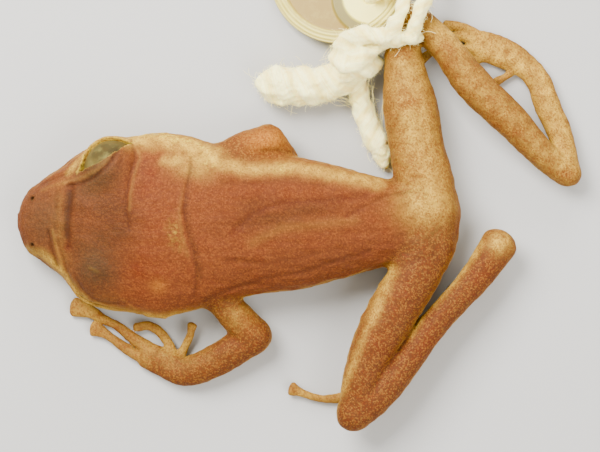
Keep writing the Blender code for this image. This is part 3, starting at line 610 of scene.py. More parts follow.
mouth = {
    # behind the snout, height: the line where the lips meet
    "line": ((0.0, 0.70), (1.2, 0.66), (2.6, 0.74), (3.9, 0.70), (4.5, 0.56)),
    "end": 4.3,
    "depth": 0.12,
    "half": 0.05,
    "lip": 0.045,
    # where the lips are highest and how wide, in halves of the crease
    "lipAt": 2.8,
    "lipHalf": 1.4,
    "skinReach": 0.22,
    "nostrils": ((-8.92, -1.14, 1.26), (-8.92, -2.68, 1.26)),
    "nostril": (0.075, 0.045, 0.08),
    "nostrilTurn": 0.5,
    "nostrilRim": 0.03,
    "eardrum": {"behind": 4.62, "up": 1.22, "radius": 0.34, "rim": 0.06, "dish": 0.03},
}


def addMouth(volume):
    start = body["snout"]
    region = volume.region((start - 0.2, -9, 0.1), (start + mouth["end"] + 0.6, 3, 1.5))
    xs, zs = zip(*mouth["line"])
    away = (region.z - np.interp(region.x - start, xs, zs)) / mouth["half"]
    reach = 1 - smoothStep(mouth["end"] - 0.2, mouth["end"] + 0.2, region.x - start)
    onSkin = bell(volume.field[region.slices], mouth["skinReach"])
    lips = bell(np.abs(away) - mouth["lipAt"], mouth["lipHalf"])
    volume.push(region, onSkin * reach * (mouth["depth"] * bell(away, 1) - mouth["lip"] * lips))
    for spot in mouth["nostrils"]:
        region = volume.around(spot, 0.5)
        hole = ballValue(region, spot, mouth["nostril"], mouth["nostrilTurn"])
        volume.push(region, -mouth["nostrilRim"] * bell(hole - 0.05, 0.06))
        volume.carve(region, hole, 0.03)
    # a shallow dish in a low ring on each side
    drum = mouth["eardrum"]
    for low, high in ((-6, -4), (0, 2)):
        region = volume.region((start + 3.9, low, 0.6), (start + 5.4, high, 1.9))
        away = np.hypot(region.x - start - drum["behind"], region.z - drum["up"])
        ring = bell(away - drum["radius"], drum["rim"])
        volume.push(region, drum["dish"] * (np.exp(-((away / drum["radius"] / 0.75) ** 4)) - ring))


def facing(look):
    out = np.array(look) / np.linalg.norm(look)
    level = np.cross((0, 0, 1), out)
    level /= np.linalg.norm(level)
    return level, np.cross(out, level), out


# The almond between the lids: below zero inside it, in front of the eye only.
def almondValue(eye, x, y, z):
    level, rise, out = facing(eye["look"])
    px, py, pz = x - eye["at"][0], y - eye["at"][1], z - eye["at"][2]
    a, b, c = (px * way[0] + py * way[1] + pz * way[2] for way in (level, rise, out))
    longHalf, highHalf = eye["slit"]
    value = np.abs(b) - highHalf * np.clip(1 - (a / longHalf) ** 2, 0, 1)
    return np.where(c > 0, value, 1.0), np.sqrt(px * px + py * py + pz * pz) - eye["radius"], b


def openLids(volume, eye):
    region = volume.around(eye["at"], eye["radius"] + 0.5)
    almond, shell, _ = almondValue(eye, region.x, region.y, region.z)
    # the lid margin stands a little proud around the opening
    height, outside, half = eyes["margin"]
    volume.push(region, -height * bell(almond - outside, half) * bell(shell, 0.3))
    volume.carve(region, np.maximum(almond, -0.04 - shell), 0.04)


skinSizes = {
    "low": (-9.70, -9.25, -0.16),
    "high": (9.60, 5.70, 2.90),
    "step": 0.05,
    "floor": 0.015,
    "triangles": 186000,
    # how softly each part joins the rest
    "bodyBlend": 0.02,
    "rumpBlend": 0.35,
    "eyeBlend": 0.22,
    # for each length of a limb, from the body outward: blend, steps along it, blend at its root
    "leg": ((0.10, 20, 0.55), (0.10, 20, 0), (0.06, 24, 0)),
    "arm": ((0.12, 12, 0.40), (0.14, 20, 0)),
    "digit": (0.05, 14),
    # seed, length, height
    "uneven": ((3, 2.4, 0.014), (4, 0.8, 0.010), (5, 0.30, 0.007)),
    # fine wrinkles that run along the back, between these corners, and fade at both ends
    "wrinkles": {
        "seed": 6,
        "length": 0.36,
        "height": 0.012,
        "squeeze": 0.28,
        "low": (-3.6, -5.2, 1.0),
        "high": (4.6, 0.6, 3),
        "full": (-2.4, 3.4),
    },
    "wrapRoom": 0.215,
    "wrapBlend": 0.10,
}


def wrinkleBack(volume):
    fine = skinSizes["wrinkles"]
    region = volume.region(fine["low"], fine["high"])
    start, end = fine["full"]
    ends = smoothStep(fine["low"][0], start, region.x) * (1 - smoothStep(end, fine["high"][0], region.x))
    lines = waves(fine["seed"], fine["length"], region.x, region.y, region.z, squeeze=fine["squeeze"])
    volume.push(region, fine["height"] * ends * lines)


def frogVolume():
    sizes = skinSizes
    volume = Volume(sizes["low"], sizes["high"], sizes["step"])
    volume.join(volume.all, bodyValue(volume, volume.all), sizes["bodyBlend"])
    addBall(volume, *body["rump"], sizes["rumpBlend"])
    for side in ("right", "left"):
        thick = eyes[side]["radius"] + eyes["lid"]
        addBall(volume, eyes[side]["at"], (thick, thick, thick), sizes["eyeBlend"])
    for kind, names in (("leg", ("legLeft", "legRight")), ("arm", ("armLeft", "armRight"))):
        for name in names:
            for rows, (blend, steps, rootBlend) in zip(limbs[name], sizes[kind]):
                addTube(volume, rows, blend, steps, rootBlend)
    for rows in digits:
        addTube(volume, rows, *sizes["digit"])
    print("limbs joined")
    addMouth(volume)
    for fold in folds:
        _, width, lowest, *line = fold
        xs, ys = zip(*line)
        wide = width * 3
        low = (min(xs) - wide, min(ys) - wide, lowest)
        high = (max(xs) + wide, max(ys) + wide, 9)
        region = volume.region(low, high)
        volume.push(region, foldValue(fold, region.x, region.y, region.z))
    volume.roughen(sizes["uneven"])
    wrinkleBack(volume)
    for side in ("right", "left"):
        openLids(volume, eyes[side])
    # the cord bites into the knee
    rows = np.array([(*row[:3], sizes["wrapRoom"], sizes["wrapRoom"]) for row in wrapRows()])
    region = volume.around(tie["wrap"]["at"], 1.4)
    volume.carve(region, tubeValue(rows, region.x, region.y, region.z), sizes["wrapBlend"])
    volume.cutBelow(sizes["floor"])
    return volume


# Soft patches of tone: the middle in plan, half sizes, turn in degrees, strength.
patches = {
    "olive": (
        (-8.60, -1.90, 0.90, 1.30, 0, 0.72),
        (-7.80, -2.10, 0.40, 1.60, 0, 0.40),
        (-6.80, -3.30, 0.85, 1.00, 10, 0.88),
        (-6.68, -0.48, 1.10, 0.68, 30, 0.85),
        (-6.70, -0.02, 0.95, 0.34, 25, 0.90),
    ),
    "pale": (
        (-7.90, -2.20, 0.30, 1.50, 0, 0.22),
        (-7.00, -5.20, 0.80, 0.50, 30, 0.45),
        (-4.20, -6.10, 0.95, 0.60, 0, 0.45),
        (0.20, -7.75, 0.70, 0.30, 0, 0.50),
        (-3.60, -0.05, 0.80, 0.42, -12, 0.55),
        (6.62, -2.60, 0.40, 0.36, 0, 0.95),
        (4.60, -1.05, 0.75, 0.30, -32, 0.60),
        (3.60, 1.20, 0.30, 0.60, 0, 0.25),
        (-5.40, -6.50, 0.40, 0.20, 20, 0.30),
        (4.15, -1.30, 0.90, 0.75, 0, 0.80),
        (-2.00, -5.10, 0.60, 0.50, 0, 0.30),
    ),
    "dusk": (
        (-6.85, -0.95, 0.95, 0.42, 18, 0.35),
        (-6.72, -3.62, 0.70, 0.55, 10, 0.78),
        (-0.60, -1.72, 1.90, 0.36, 11, 0.60),
        (-1.40, -1.45, 0.80, 0.50, 20, 0.45),
        (3.90, -2.60, 0.90, 0.40, 30, 0.25),
        (-7.30, -1.90, 0.50, 1.20, 0, 0.60),
        (-6.20, -1.90, 0.95, 0.95, 0, 0.82),
        (0.80, -3.30, 2.60, 0.70, 5, 0.25),
    ),
    "rust": (
        (-5.00, -0.30, 0.80, 0.90, 0, 0.45),
        (-4.70, -2.00, 1.00, 0.90, 0, 0.30),
        (-5.20, -3.50, 0.90, 0.90, 0, 0.40),
        (-1.00, -1.00, 1.70, 0.35, -4, 0.30),
        (3.48, 2.15, 0.34, 0.45, 0, 0.55),
        (3.48, 3.72, 0.34, 0.24, 0, 0.80),
        (3.70, -0.15, 0.50, 0.50, 0, 0.35),
        (2.60, -5.80, 0.40, 0.90, 20, 0.30),
        (3.20, -4.30, 0.40, 0.60, 20, 0.25),
        (4.30, -5.90, 0.35, 0.90, -38, 0.45),
        (6.10, -3.60, 0.35, 0.60, -40, 0.35),
        (4.70, 3.40, 0.30, 0.50, 40, 0.35),
        (6.60, 1.30, 0.35, 0.60, 40, 0.30),
        (8.90, -0.35, 0.36, 0.28, 0, 0.62),
        (-1.30, 0.62, 0.35, 0.30, 0, 0.40),
        (-6.60, -5.30, 0.22, 0.22, 0, 0.55),
        (-6.90, -5.50, 0.20, 0.22, 0, 0.50),
        (-5.80, -5.85, 0.40, 0.20, 35, 0.40),
        (-0.26, -7.55, 0.16, 0.18, 0, 0.60),
        (-1.70, -5.40, 0.40, 0.50, 0, 0.30),
        (3.55, 2.08, 0.36, 0.28, 0, 0.78),
        (4.85, 3.90, 0.18, 0.30, 40, 0.60),
        (7.15, 1.10, 0.24, 0.34, 40, 0.50),
        (-6.75, -5.05, 0.16, 0.14, 0, 0.75),
        (-6.20, -5.52, 0.14, 0.20, 30, 0.65),
    ),
    "gold": (
        (-4.68, -4.02, 0.26, 0.22, 0, 0.32),
        (-0.95, 1.00, 0.40, 0.30, 0, 0.35),
        (-1.10, 0.80, 0.80, 0.40, 0, 0.80),
    ),
    "cream": (
        (-4.12, -2.30, 0.22, 0.46, 8, 0.20),
        (-3.02, 0.08, 0.34, 0.24, -20, 0.40),
        (-4.04, 0.10, 0.26, 0.18, -20, 0.10),
        (-0.62, -0.18, 0.30, 0.16, 0, 0.40),
        (4.05, -1.05, 0.50, 0.34, -30, 0.22),
        (3.72, 1.40, 0.24, 0.34, 20, 0.30),
        (3.60, 0.80, 0.24, 0.30, 0, 0.20),
    ),
}

# Bands of tone along lines in plan: the half width, the strength, the line.
bands = {
    "pale": (
        # the edges of the head, left and then right, paler: partly their own colour, partly painted rim
        # light
        (0.17, 0.85, (-9.10, -2.90), (-8.55, -3.00), (-8.02, -3.50), (-7.49, -4.22), (-7.02, -4.66),
         (-6.35, -4.90), (-5.35, -5.05), (-4.69, -5.16), (-3.35, -4.96)),
        (0.12, 0.75, (-7.70, -0.30), (-7.10, 0.42), (-6.55, 0.78), (-5.80, 0.92)),
        (0.34, 0.85, (-5.60, 0.86), (-4.60, 0.80), (-3.52, 0.56), (-2.85, 0.22)),
        # the right side of the back, paler: partly its own colour, partly painted rim light
        (0.24, 0.70, (-4.40, 0.10), (-3.60, 0.20), (-2.85, 0.05), (-1.69, -0.20), (-0.35, -0.10),
         (0.98, -0.32), (2.60, -0.62)),
        # left leg, paler mostly along its edges: partly its own colour, partly painted rim light
        (0.09, 0.60, (4.58, -4.24), (4.08, -4.95), (3.68, -5.68)),
        (0.20, 0.72, (3.00, -3.50), (2.60, -4.50), (2.30, -5.20)),
        (0.14, 0.50, (2.30, -5.20), (1.80, -6.40), (1.32, -7.60)),
        (0.13, 0.65, (4.42, -4.62), (5.30, -3.62), (6.05, -2.62)),
        # right leg
        (0.14, 0.40, (2.55, 2.90), (2.75, 1.40), (2.95, 0.10)),
        (0.80, 0.72, (3.52, 3.40), (3.66, 2.00), (3.90, 0.60), (4.20, -0.90)),
        (0.60, 0.45, (3.90, 4.80), (5.75, 2.70), (8.25, 0.24)),
        (0.60, 0.80, (8.90, -0.10), (8.75, 0.98), (8.34, 2.00), (7.90, 3.06), (6.50, 3.90), (4.60, 4.40)),
    ),
    "rust": (
        # along the fold between the eyes and the fold on the back: darker and redder, painted shade in the
        # creases
        (0.20, 0.85, (-7.62, -0.90), (-7.66, -1.35), (-7.70, -2.02), (-7.66, -2.72)),
        (0.16, 0.30, (-2.19, -2.25), (-1.52, -1.58), (-0.52, -1.28), (0.98, -1.18), (2.15, -1.02)),
    ),
    "dusk": (
        # along the folds between the eyes, beside the snout and across the neck: painted shade in the
        # creases
        (0.18, 0.95, (-7.62, -1.00), (-7.66, -1.50), (-7.70, -2.30)),
        (0.07, 0.35, (-8.05, -0.90), (-8.10, -1.60), (-8.12, -2.30)),
        (0.12, 0.35, (-3.58, -0.20), (-3.70, -0.85), (-3.76, -1.52), (-3.62, -2.25), (-3.42, -2.85),
         (-3.30, -3.68)),
    ),
    "cream": ((0.12, 0.60, (-5.60, 1.02), (-4.60, 0.98), (-3.60, 0.70), (-3.10, 0.50)),),
}


# How much each point belongs to the tubes in a list, from 0 to 1.
def shareOf(tubes, x, y, z, near, far):
    best = np.full(len(x), 9.0)
    for rows in tubes:
        fine = through(rows, 12)
        low, high = fine[:, :3].min(0) - 1, fine[:, :3].max(0) + 1
        here = (x > low[0]) & (x < high[0]) & (y > low[1]) & (y < high[1])
        best[here] = np.minimum(best[here], tubeValue(fine, x[here], y[here], z[here]))
    return 1 - smoothStep(near, far, best)


paint = {
    "tones": ("dusk", "olive", "rust", "gold", "pale", "cream"),
    # seed and length of the waves in each tone, their middle, their height and the most they give
    "uneven": {
        "dusk": (21, 0.8, 0.85, 0.15, 9.0),
        "rust": (22, 0.6, 0.80, 0.30, 9.0),
        "pale": (23, 0.5, 0.85, 0.20, 9.0),
        "cream": (24, 0.16, 0.60, 0.80, 1.4),
    },
    # sides and underside paled by their slope: partly their own colour, partly painted rim light
    "flankWaves": (25, 0.5, 0.06),
    "flank": 0.85,
    "underside": 0.45,
    "lid": 0.5,
    "lidHalf": 0.045,
    "nostrilHalf": 0.11,
    # how far a digit and a limb colour the skin about them: from, to
    "digit": (0.04, 0.16),
    "limb": (0.05, 0.45),
    "fullFold": 0.045,
}


def paintSkin(mesh):
    spots = coordinatesOf(mesh)
    x, y, z = spots.T
    up = normalsOf(mesh)[:, 2]
    tones = {name: np.zeros(len(x)) for name in paint["tones"]}
    for tone, rows in patches.items():
        for cx, cy, a, b, turn, strength in rows:
            c, s = math.cos(math.radians(turn)), math.sin(math.radians(turn))
            u, v = (x - cx) * c + (y - cy) * s, (y - cy) * c - (x - cx) * s
            tones[tone] = np.maximum(tones[tone], strength * bell(u, a) * bell(v, b))
    for tone, rows in bands.items():
        for width, strength, *line in rows:
            tones[tone] = np.maximum(tones[tone], strength * bell(planDistance(x, y, line), width))
    for tone, (seed, length, middle, height, most) in paint["uneven"].items():
        tones[tone] *= np.clip(middle + height * waves(seed, length, x, y, z), 0, most)
    # the sides and the underside are paler by how steeply they face: partly the frog's own paler sides and
    # belly, and partly painted rim light that also lifts the shade on them
    seed, length, height = paint["flankWaves"]
    tilt = up + height * waves(seed, length, x, y, z)
    flank = 1 - 0.5 * smoothStep(-0.05, 0.55, tilt) - 0.5 * smoothStep(-0.95, 0.40, tilt)
    tones["pale"] = np.maximum(tones["pale"], paint["flank"] * flank)
    tones["cream"] = np.maximum(tones["cream"], paint["underside"] * (1 - smoothStep(-0.20, 0.30, up)))
    # the lids beside the opening of the right eye are thin and pale
    almond, shell, height = almondValue(eyes["right"], x, y, z)
    margin = bell(almond - 0.02, paint["lidHalf"]) * (np.abs(shell) < 0.3)
    tones["cream"] = np.maximum(tones["cream"], paint["lid"] * margin * np.where(height < 0, 1.0, 0.4))
    for tone in ("dusk", "rust"):
        tones[tone] *= 1 - margin
    # each nostril painted dark: painted shade in its opening
    for nostril in mouth["nostrils"]:
        near = bell(np.linalg.norm(spots - nostril, axis=1), paint["nostrilHalf"])
        tones["dusk"] = np.maximum(tones["dusk"], near)
        tones["cream"] *= 1 - near
    for name, values in tones.items():
        setAttribute(mesh, name, values)
    digit = shareOf(digits, x, y, z, *paint["digit"])
    limb = shareOf([rows for parts in limbs.values() for rows in parts], x, y, z, *paint["limb"])
    setAttribute(mesh, "limb", np.maximum(limb, digit))
    setAttribute(mesh, "digit", digit)
    # the creases are painted darker as painted shade, and the ridges paler as a painted highlight
    depth = sum(foldValue(fold, x, y, z) for fold in folds) / paint["fullFold"]
    setAttribute(mesh, "creaseShade", np.maximum(depth, 0))
    setAttribute(mesh, "ridge", np.maximum(-depth, 0))


def makeSkin():
    points, faces = surfaceNet(frogVolume())
    print("skin net:", len(points), "points")
    skin = relaxAndThin(meshObject("skin", points, faces), 3, skinSizes["triangles"])
    paintSkin(skin.data)
    return toMetres(skin)


# Adds a node and gives its outputs. Each entry is a setting of the node, a value for one of
# its inputs, or an output of another node, which is linked to that input.
def addNode(tree, kind, entries=None):
    made = tree.nodes.new(kind)
    for name, value in (entries or {}).items():
        if isinstance(name, str) and hasattr(made, name):
            setattr(made, name, value)
        elif isinstance(value, bpy.types.NodeSocket):
            tree.links.new(value, made.inputs[name])
        else:
            made.inputs[name].default_value = value
    return made.outputs


def perMetre(sizeInMm):
    return 1000.0 / sizeInMm


def newMaterial(name, settings):
    made = bpy.data.materials.new(name)
    made.use_nodes = True
    shader = made.node_tree.nodes["Principled BSDF"]
    for socket, value in settings.items():
        shader.inputs[socket].default_value = value
    return made, made.node_tree, shader


# Lays tones over a first colour one after another, each by its own share.
def layTones(tree, colour, layers):
    for share, tone in layers:
        colour = addNode(tree, "ShaderNodeMix", {"data_type": "RGBA", 0: share, 6: colour, 7: tone})[2]
    return colour


skinLook = {
    "back": linear("5d2e14"),
    "limb": linear("502c13"),
    "digit": linear("7c5a22"),
    "pale": linear("b48c30"),
    "cream": linear("d9bf38"),
    "gold": linear("a0641a"),
    "dusk": linear("30200e"),
    "olive": linear("412f1b"),
    "rust": linear("5c200b"),
    "speckBack": linear("9c5a22"),
    "speck": linear("a67026"),
    "speckPale": linear("d2ae48"),
    "dotBack": linear("3c170a"),
    "dot": linear("5e260d"),
    # painted shade in the creases
    "creaseShade": linear("35170a"),
    "granule": 0.045,
    # size in millimetres, detail, roughness of the noise
    "mottle": (0.8, 4.0, 0.6),
    "grain": (0.14, 3.0, 0.7),
    "streak": (0.11, 2.0, 0.5),
    "streakStretch": (0.22, 1.0, 1.0),
    "relief": 0.018 * mm,
}


# Preserved amphibian skin, damp: thin and finely granular, and a little light passes into it.
def skinMaterial():
    look = skinLook
    made, tree, shader = newMaterial(
        "preserved damp frog skin",
        {
            "Specular IOR Level": 0.05,
            "Subsurface Weight": 0.15,
            "Subsurface Radius": (1.0, 0.45, 0.2),
            "Subsurface Scale": 0.15 * mm,
        },
    )
    place = addNode(tree, "ShaderNodeTexCoord")["Object"]
    along = addNode(tree, "ShaderNodeMapping", {"Vector": place, "Scale": look["streakStretch"]})[0]
    share = {}
    tones = ("pale", "rust", "olive", "dusk", "gold", "cream")
    for name in ("limb", "digit", *tones, "creaseShade", "ridge"):
        share[name] = addNode(tree, "ShaderNodeAttribute", {"attribute_name": name})["Fac"]
    pattern = {}
    for name, vector in (("mottle", place), ("grain", place), ("streak", along)):
        size, detail, roughness = look[name]
        entries = {"Vector": vector, "Scale": perMetre(size), "Detail": detail, "Roughness": roughness}
        pattern[name] = addNode(tree, "ShaderNodeTexNoise", entries)["Fac"]
    cells = addNode(tree, "ShaderNodeTexVoronoi", {"Vector": place, "Scale": perMetre(look["granule"])})
    ownTone = addNode(tree, "ShaderNodeSeparateColor", {"Color": cells["Color"]})
    edge = addNode(tree, "ShaderNodeMath", {"operation": "MULTIPLY", 0: share["pale"], 1: 0.8})[0]
    contrast = addNode(tree, "ShaderNodeMath", {"operation": "MAXIMUM", 0: share["limb"], 1: edge})[0]
    # from what, where it starts, where it is full, how much it is then
    ranges = {
        "mottled": (pattern["mottle"], 0.52, 0.74, 0.30),
        "broken": (pattern["grain"], 0.36, 0.60, 1.0),
        "roughness": (pattern["grain"], -1.2, 1.8, 1.0),
        "bead": (cells["Distance"], 0.60, 0.15, 1.0),
        "lightBead": (ownTone["Red"], 0.45, 0.85, 1.0),
        "darkBead": (ownTone["Green"], 0.45, 0.85, 1.0),
        "mostLight": (contrast, -2.4, 1.0, 0.30),
        "mostDark": (contrast, -1.2, 1.0, 0.55),
        "notDusk": (share["dusk"], 1.3, 0.0, 1.0),
        "notOlive": (share["olive"], 1.5, 0.0, 1.0),
        "notPale": (share["pale"], 1.05, 0.80, 1.0),
        "onPale": (share["pale"], 0.2, 0.9, 1.0),
        "offLimbs": (share["limb"], 0.6, 0.0, 2.2),
        "shadeInCrease": (share["creaseShade"], 0.0, 1.0, 0.50),
        "highlightOnRidge": (share["ridge"], 0.0, 1.0, 0.16),
    }
    for name, (source, low, high, most) in ranges.items():
        entries = {"Value": source, "From Min": low, "From Max": high, "To Max": most}
        share[name] = addNode(tree, "ShaderNodeMapRange", entries)["Result"]
    # each granule has its own tone, some pale and some dark, and most so on the limbs and edges
    products = {
        "cream": (share["cream"], share["broken"]),
        "light": (share["lightBead"], share["mostLight"], share["notDusk"], share["notOlive"]),
        "dark": (share["darkBead"], share["mostDark"], share["notPale"]),
        "streak": (pattern["streak"], share["offLimbs"]),
        "bead": (share["bead"], 0.7),
    }
    for name, (product, *factors) in products.items():
        for factor in factors:
            product = addNode(tree, "ShaderNodeMath", {"operation": "MULTIPLY", 0: product, 1: factor})[0]
        share[name] = product
    speckLayers = ((contrast, look["speck"]), (share["onPale"], look["speckPale"]))
    layers = [
        (share["limb"], look["limb"]),
        (share["digit"], look["digit"]),
        (share["mottled"], look["rust"]),
        *((share[tone], look[tone]) for tone in tones),
        (share["light"], layTones(tree, look["speckBack"], speckLayers)),
        (share["dark"], layTones(tree, look["dotBack"], ((contrast, look["dot"]),))),
        # painted shade in the creases, and a painted highlight of the pale tone on the ridges
        (share["shadeInCrease"], look["creaseShade"]),
        (share["highlightOnRidge"], look["pale"]),
    ]
    tree.links.new(layTones(tree, look["back"], layers), shader.inputs["Base Color"])
    fine = addNode(tree, "ShaderNodeMath", {"operation": "ADD", 0: pattern["grain"], 1: share["streak"]})[0]
    height = addNode(tree, "ShaderNodeMath", {"operation": "ADD", 0: share["bead"], 1: fine})[0]
    bump = addNode(tree, "ShaderNodeBump", {"Strength": 0.5, "Distance": look["relief"], "Height": height})
    tree.links.new(bump["Normal"], shader.inputs["Normal"])
    tree.links.new(share["roughness"], shader.inputs["Roughness"])
    return made


eyeLook = {"cloud": linear("534620"), "core": linear("281f0e"), "rim": linear("6e6430"), "patch": 0.5}


# A preserved eye: the cornea has gone cloudy and the pupil shows only as a darker middle.
def eyeMaterial():
    made, tree, shader = newMaterial(
        "clouded preserved eye",
        {
            "Roughness": 0.55,
            "Specular IOR Level": 0.06,
            "Subsurface Weight": 0.1,
            "Subsurface Scale": 0.1 * mm,
        },
    )
    place = addNode(tree, "ShaderNodeTexCoord")["Object"]
    pupil = addNode(tree, "ShaderNodeAttribute", {"attribute_name": "pupil"})["Fac"]
    entries = {"Vector": place, "Scale": perMetre(eyeLook["patch"]), "Detail": 4.0, "Roughness": 0.6}
    patch = addNode(tree, "ShaderNodeTexNoise", entries)["Fac"]
    rim = addNode(tree, "ShaderNodeMapRange", {"Value": patch, "From Min": 0.48, "From Max": 0.80})["Result"]
    colour = layTones(tree, eyeLook["cloud"], ((pupil, eyeLook["core"]), (rim, eyeLook["rim"])))
    tree.links.new(colour, shader.inputs["Base Color"])
    return made


def makeEye(side):
    eye = eyes[side]
    turn = np.array(facing(eye["look"])).T
    mesh = bpy.data.meshes.new("eye_" + side)
    ball = bmesh.new()
    bmesh.ops.create_uvsphere(ball, u_segments=eyes["round"], v_segments=eyes["rings"], radius=eye["radius"])
    ball.to_mesh(mesh)
    ball.free()
    mesh.transform(Matrix(turn.tolist()).to_4x4())
    spots = coordinatesOf(mesh)
    dark = np.array(eye["dark"]) / np.linalg.norm(eye["dark"])
    away = np.linalg.norm(spots / eye["radius"] - dark, axis=1)
    most, full, gone = eyes["shade"]
    shade = most * (1 - smoothStep(full, gone, away))
    a, b, c = (spots @ turn / eye["radius"]).T
    most, full, gone = eyes["pupil"]
    pupil = most * (1 - smoothStep(full, gone, np.hypot(a * eyes["pupilLong"], b))) * (c > 0)
    setAttribute(mesh, "pupil", np.maximum(shade, pupil))
    mesh.transform(Matrix.Translation(eye["at"]))
    mesh.shade_smooth()
    return toMetres(newObject("eye_" + side + "_ball", mesh))


tie = {
    "low": (-2.2, -0.6, -0.10),
    "high": (5.1, 7.3, 2.70),
    "step": 0.05,
    "floor": 0.01,
    "blend": 0.09,
    # x, y, z, half thickness
    "strands": {
        "longEnd": (
            (1.45, 2.98, 0.80, 0.52),
            (1.05, 2.80, 0.70, 0.60),
            (0.62, 2.70, 0.68, 0.62),
            (0.20, 2.66, 0.68, 0.66),
            (-0.20, 2.64, 0.64, 0.60),
            (-0.56, 2.66, 0.64, 0.64),
            (-0.84, 2.70, 0.60, 0.60),
            (-1.02, 2.72, 0.58, 0.48),
        ),
        "shortEnd": (
            (1.90, 2.92, 0.66, 0.33),
            (2.00, 2.30, 0.42, 0.34),
            (2.28, 1.42, 0.37, 0.37),
            (2.52, 0.80, 0.38, 0.38),
            (2.74, 0.34, 0.33, 0.30),
            (2.84, 0.10, 0.28, 0.20),
        ),
        "loopOver": (
            (2.92, 4.16, 1.92, 0.24),
            (3.08, 4.46, 2.04, 0.24),
            (3.32, 5.02, 2.10, 0.23),
            (3.36, 5.56, 1.90, 0.23),
            (2.98, 5.82, 1.50, 0.23),
            (2.50, 5.68, 1.18, 0.22),
            (2.39, 5.65, 0.80, 0.25),
            (2.39, 5.65, 0.60, 0.25),
        ),
        "loopUnder": (
            (3.62, 4.16, 1.90, 0.24),
            (3.72, 4.44, 2.04, 0.24),
            (3.98, 5.12, 2.12, 0.24),
            (4.28, 5.90, 1.58, 0.24),
            (4.40, 6.50, 0.72, 0.24),
            (3.98, 6.60, 0.28, 0.23),
            (3.20, 6.02, 0.24, 0.21),
            (2.50, 5.69, 0.26, 0.22),
            (2.39, 5.65, 0.60, 0.25),
        ),
        "top": (
            (3.10, 4.14, 1.88, 0.28),
            (2.55, 4.24, 1.80, 0.30),
            (2.00, 4.26, 1.66, 0.32),
            (1.56, 4.14, 1.30, 0.30),
            (1.36, 3.86, 0.86, 0.28),
        ),
        "front": (
            (1.36, 3.92, 0.56, 0.28),
            (1.30, 3.50, 1.16, 0.28),
            (1.64, 3.16, 1.46, 0.28),
            (2.22, 3.16, 1.26, 0.28),
            (2.46, 3.40, 0.80, 0.28),
        ),
        "back": (
            (2.44, 3.96, 0.90, 0.26),
            (2.34, 3.78, 1.42, 0.27),
            (1.96, 3.44, 1.66, 0.28),
            (1.60, 3.10, 1.40, 0.28),
            (1.40, 2.94, 0.86, 0.28),
        ),
    },
    "mass": (((1.92, 3.56, 0.90), (0.64, 0.74, 0.80)), ((1.56, 3.90, 0.84), (0.44, 0.48, 0.62))),
    "wrap": {
        "at": (3.34, 4.17, 1.14),
        "half": (0.62, 0.70),
        "way": (-0.14, 0.98, 0.06),
        "thick": 0.24,
        "steps": 24,
    },
    "lay": 1.5,
    "layDepth": 0.012,
    "longest": 8.0,
    # seed, length, height
    "lumps": (31, 0.60, 0.040),
    "fluff": (32, 0.18, 0.014),
    "triangles": 120000,
}


# The turn of yarn round the knee, closed.
def wrapRows():
    wrap = tie["wrap"]
    way = Vector(wrap["way"]).to_track_quat("Z", "Y").to_matrix()
    rows = []
    for i in range(wrap["steps"] + 1):
        turn = 2 * math.pi * i / wrap["steps"]
        spot = way @ Vector((wrap["half"][0] * math.cos(turn), wrap["half"][1] * math.sin(turn), 0))
        rows.append((*(Vector(wrap["at"]) + spot), wrap["thick"]))
    return rows


def allStrands():
    return [*tie["strands"].values(), wrapRows()]


# Where each point lies along and around the nearest strand: length along it, then the angle
# about it, in a frame that turns as little as it can.
def strandPlace(points):
    best = np.full(len(points), 99.0)
    along = np.zeros(len(points))
    angle = np.zeros(len(points))
    for rows in allStrands():
        fine = through(rows, 40)
        spots = fine[:, :3]
        ways = np.gradient(spots, axis=0)
        ways /= np.linalg.norm(ways, axis=1)[:, None]
        side = np.array((0.31, 0.52, 0.80))
        length = 0.0
        for i, way in enumerate(ways):
            side = side - way * side.dot(way)
            side /= np.linalg.norm(side)
            length += np.linalg.norm(spots[i] - spots[i - 1]) if i else 0.0
            off = points - spots[i]
            far = np.linalg.norm(off, axis=1) - fine[i, 3]
            nearer = far < best
            best[nearer] = far[nearer]
            run = off[nearer] @ way
            along[nearer] = length + run
            angle[nearer] = np.arctan2(off[nearer] @ np.cross(way, side), off[nearer] @ side)
    return along, angle


def makeTie():
    volume = Volume(tie["low"], tie["high"], tie["step"])
    for rows in allStrands():
        addTube(volume, [(*row, row[3]) for row in rows], tie["blend"], 24)
    for centre, radii in tie["mass"]:
        addBall(volume, centre, radii, tie["blend"])
    volume.roughen((tie["lumps"], tie["fluff"]))
    volume.cutBelow(tie["floor"])
    piece = relaxAndThin(meshObject("cotton_tie", *surfaceNet(volume)), 2, tie["triangles"])
    # the plies show as a shallow spiral
    points = coordinatesOf(piece.data)
    along, angle = strandPlace(points)
    turn = 2 * (angle - 2 * math.pi * along / tie["lay"])
    points += normalsOf(piece.data) * (tie["layDepth"] * np.cos(turn))[:, None]
    movePoints(piece.data, points, tie["floor"])
    setAttribute(piece.data, "ply", 0.5 + 0.5 * np.cos(turn))
    setAttribute(piece.data, "run", along / tie["longest"])
    setAttribute(piece.data, "twistA", 0.5 + 0.5 * np.cos(turn / 2))
    setAttribute(piece.data, "twistB", 0.5 + 0.5 * np.sin(turn / 2))
    return toMetres(piece)


fuzz = {
    # for each square millimetre, then the length and half thickness in millimetres
    "kinds": {
        "short": {"density": 86.0, "length": 0.16, "thickness": 0.0042, "spread": 1.3, "seed": 5},
        "long": {"density": 3.6, "length": 0.60, "thickness": 0.0055, "spread": 1.2, "seed": 6},
    },
    "arc": {"Resolution": 4, "Start": (0, 0, -0.1), "Middle": (0.15, 0.05, 0.60), "End": (0.80, 0.10, 0.60)},
    "sides": 3,
    "lean": (1, 1, 3.14),  # the most it leans and turns, in radians
    "shortest": 0.4,
    "floor": 0.004,
}


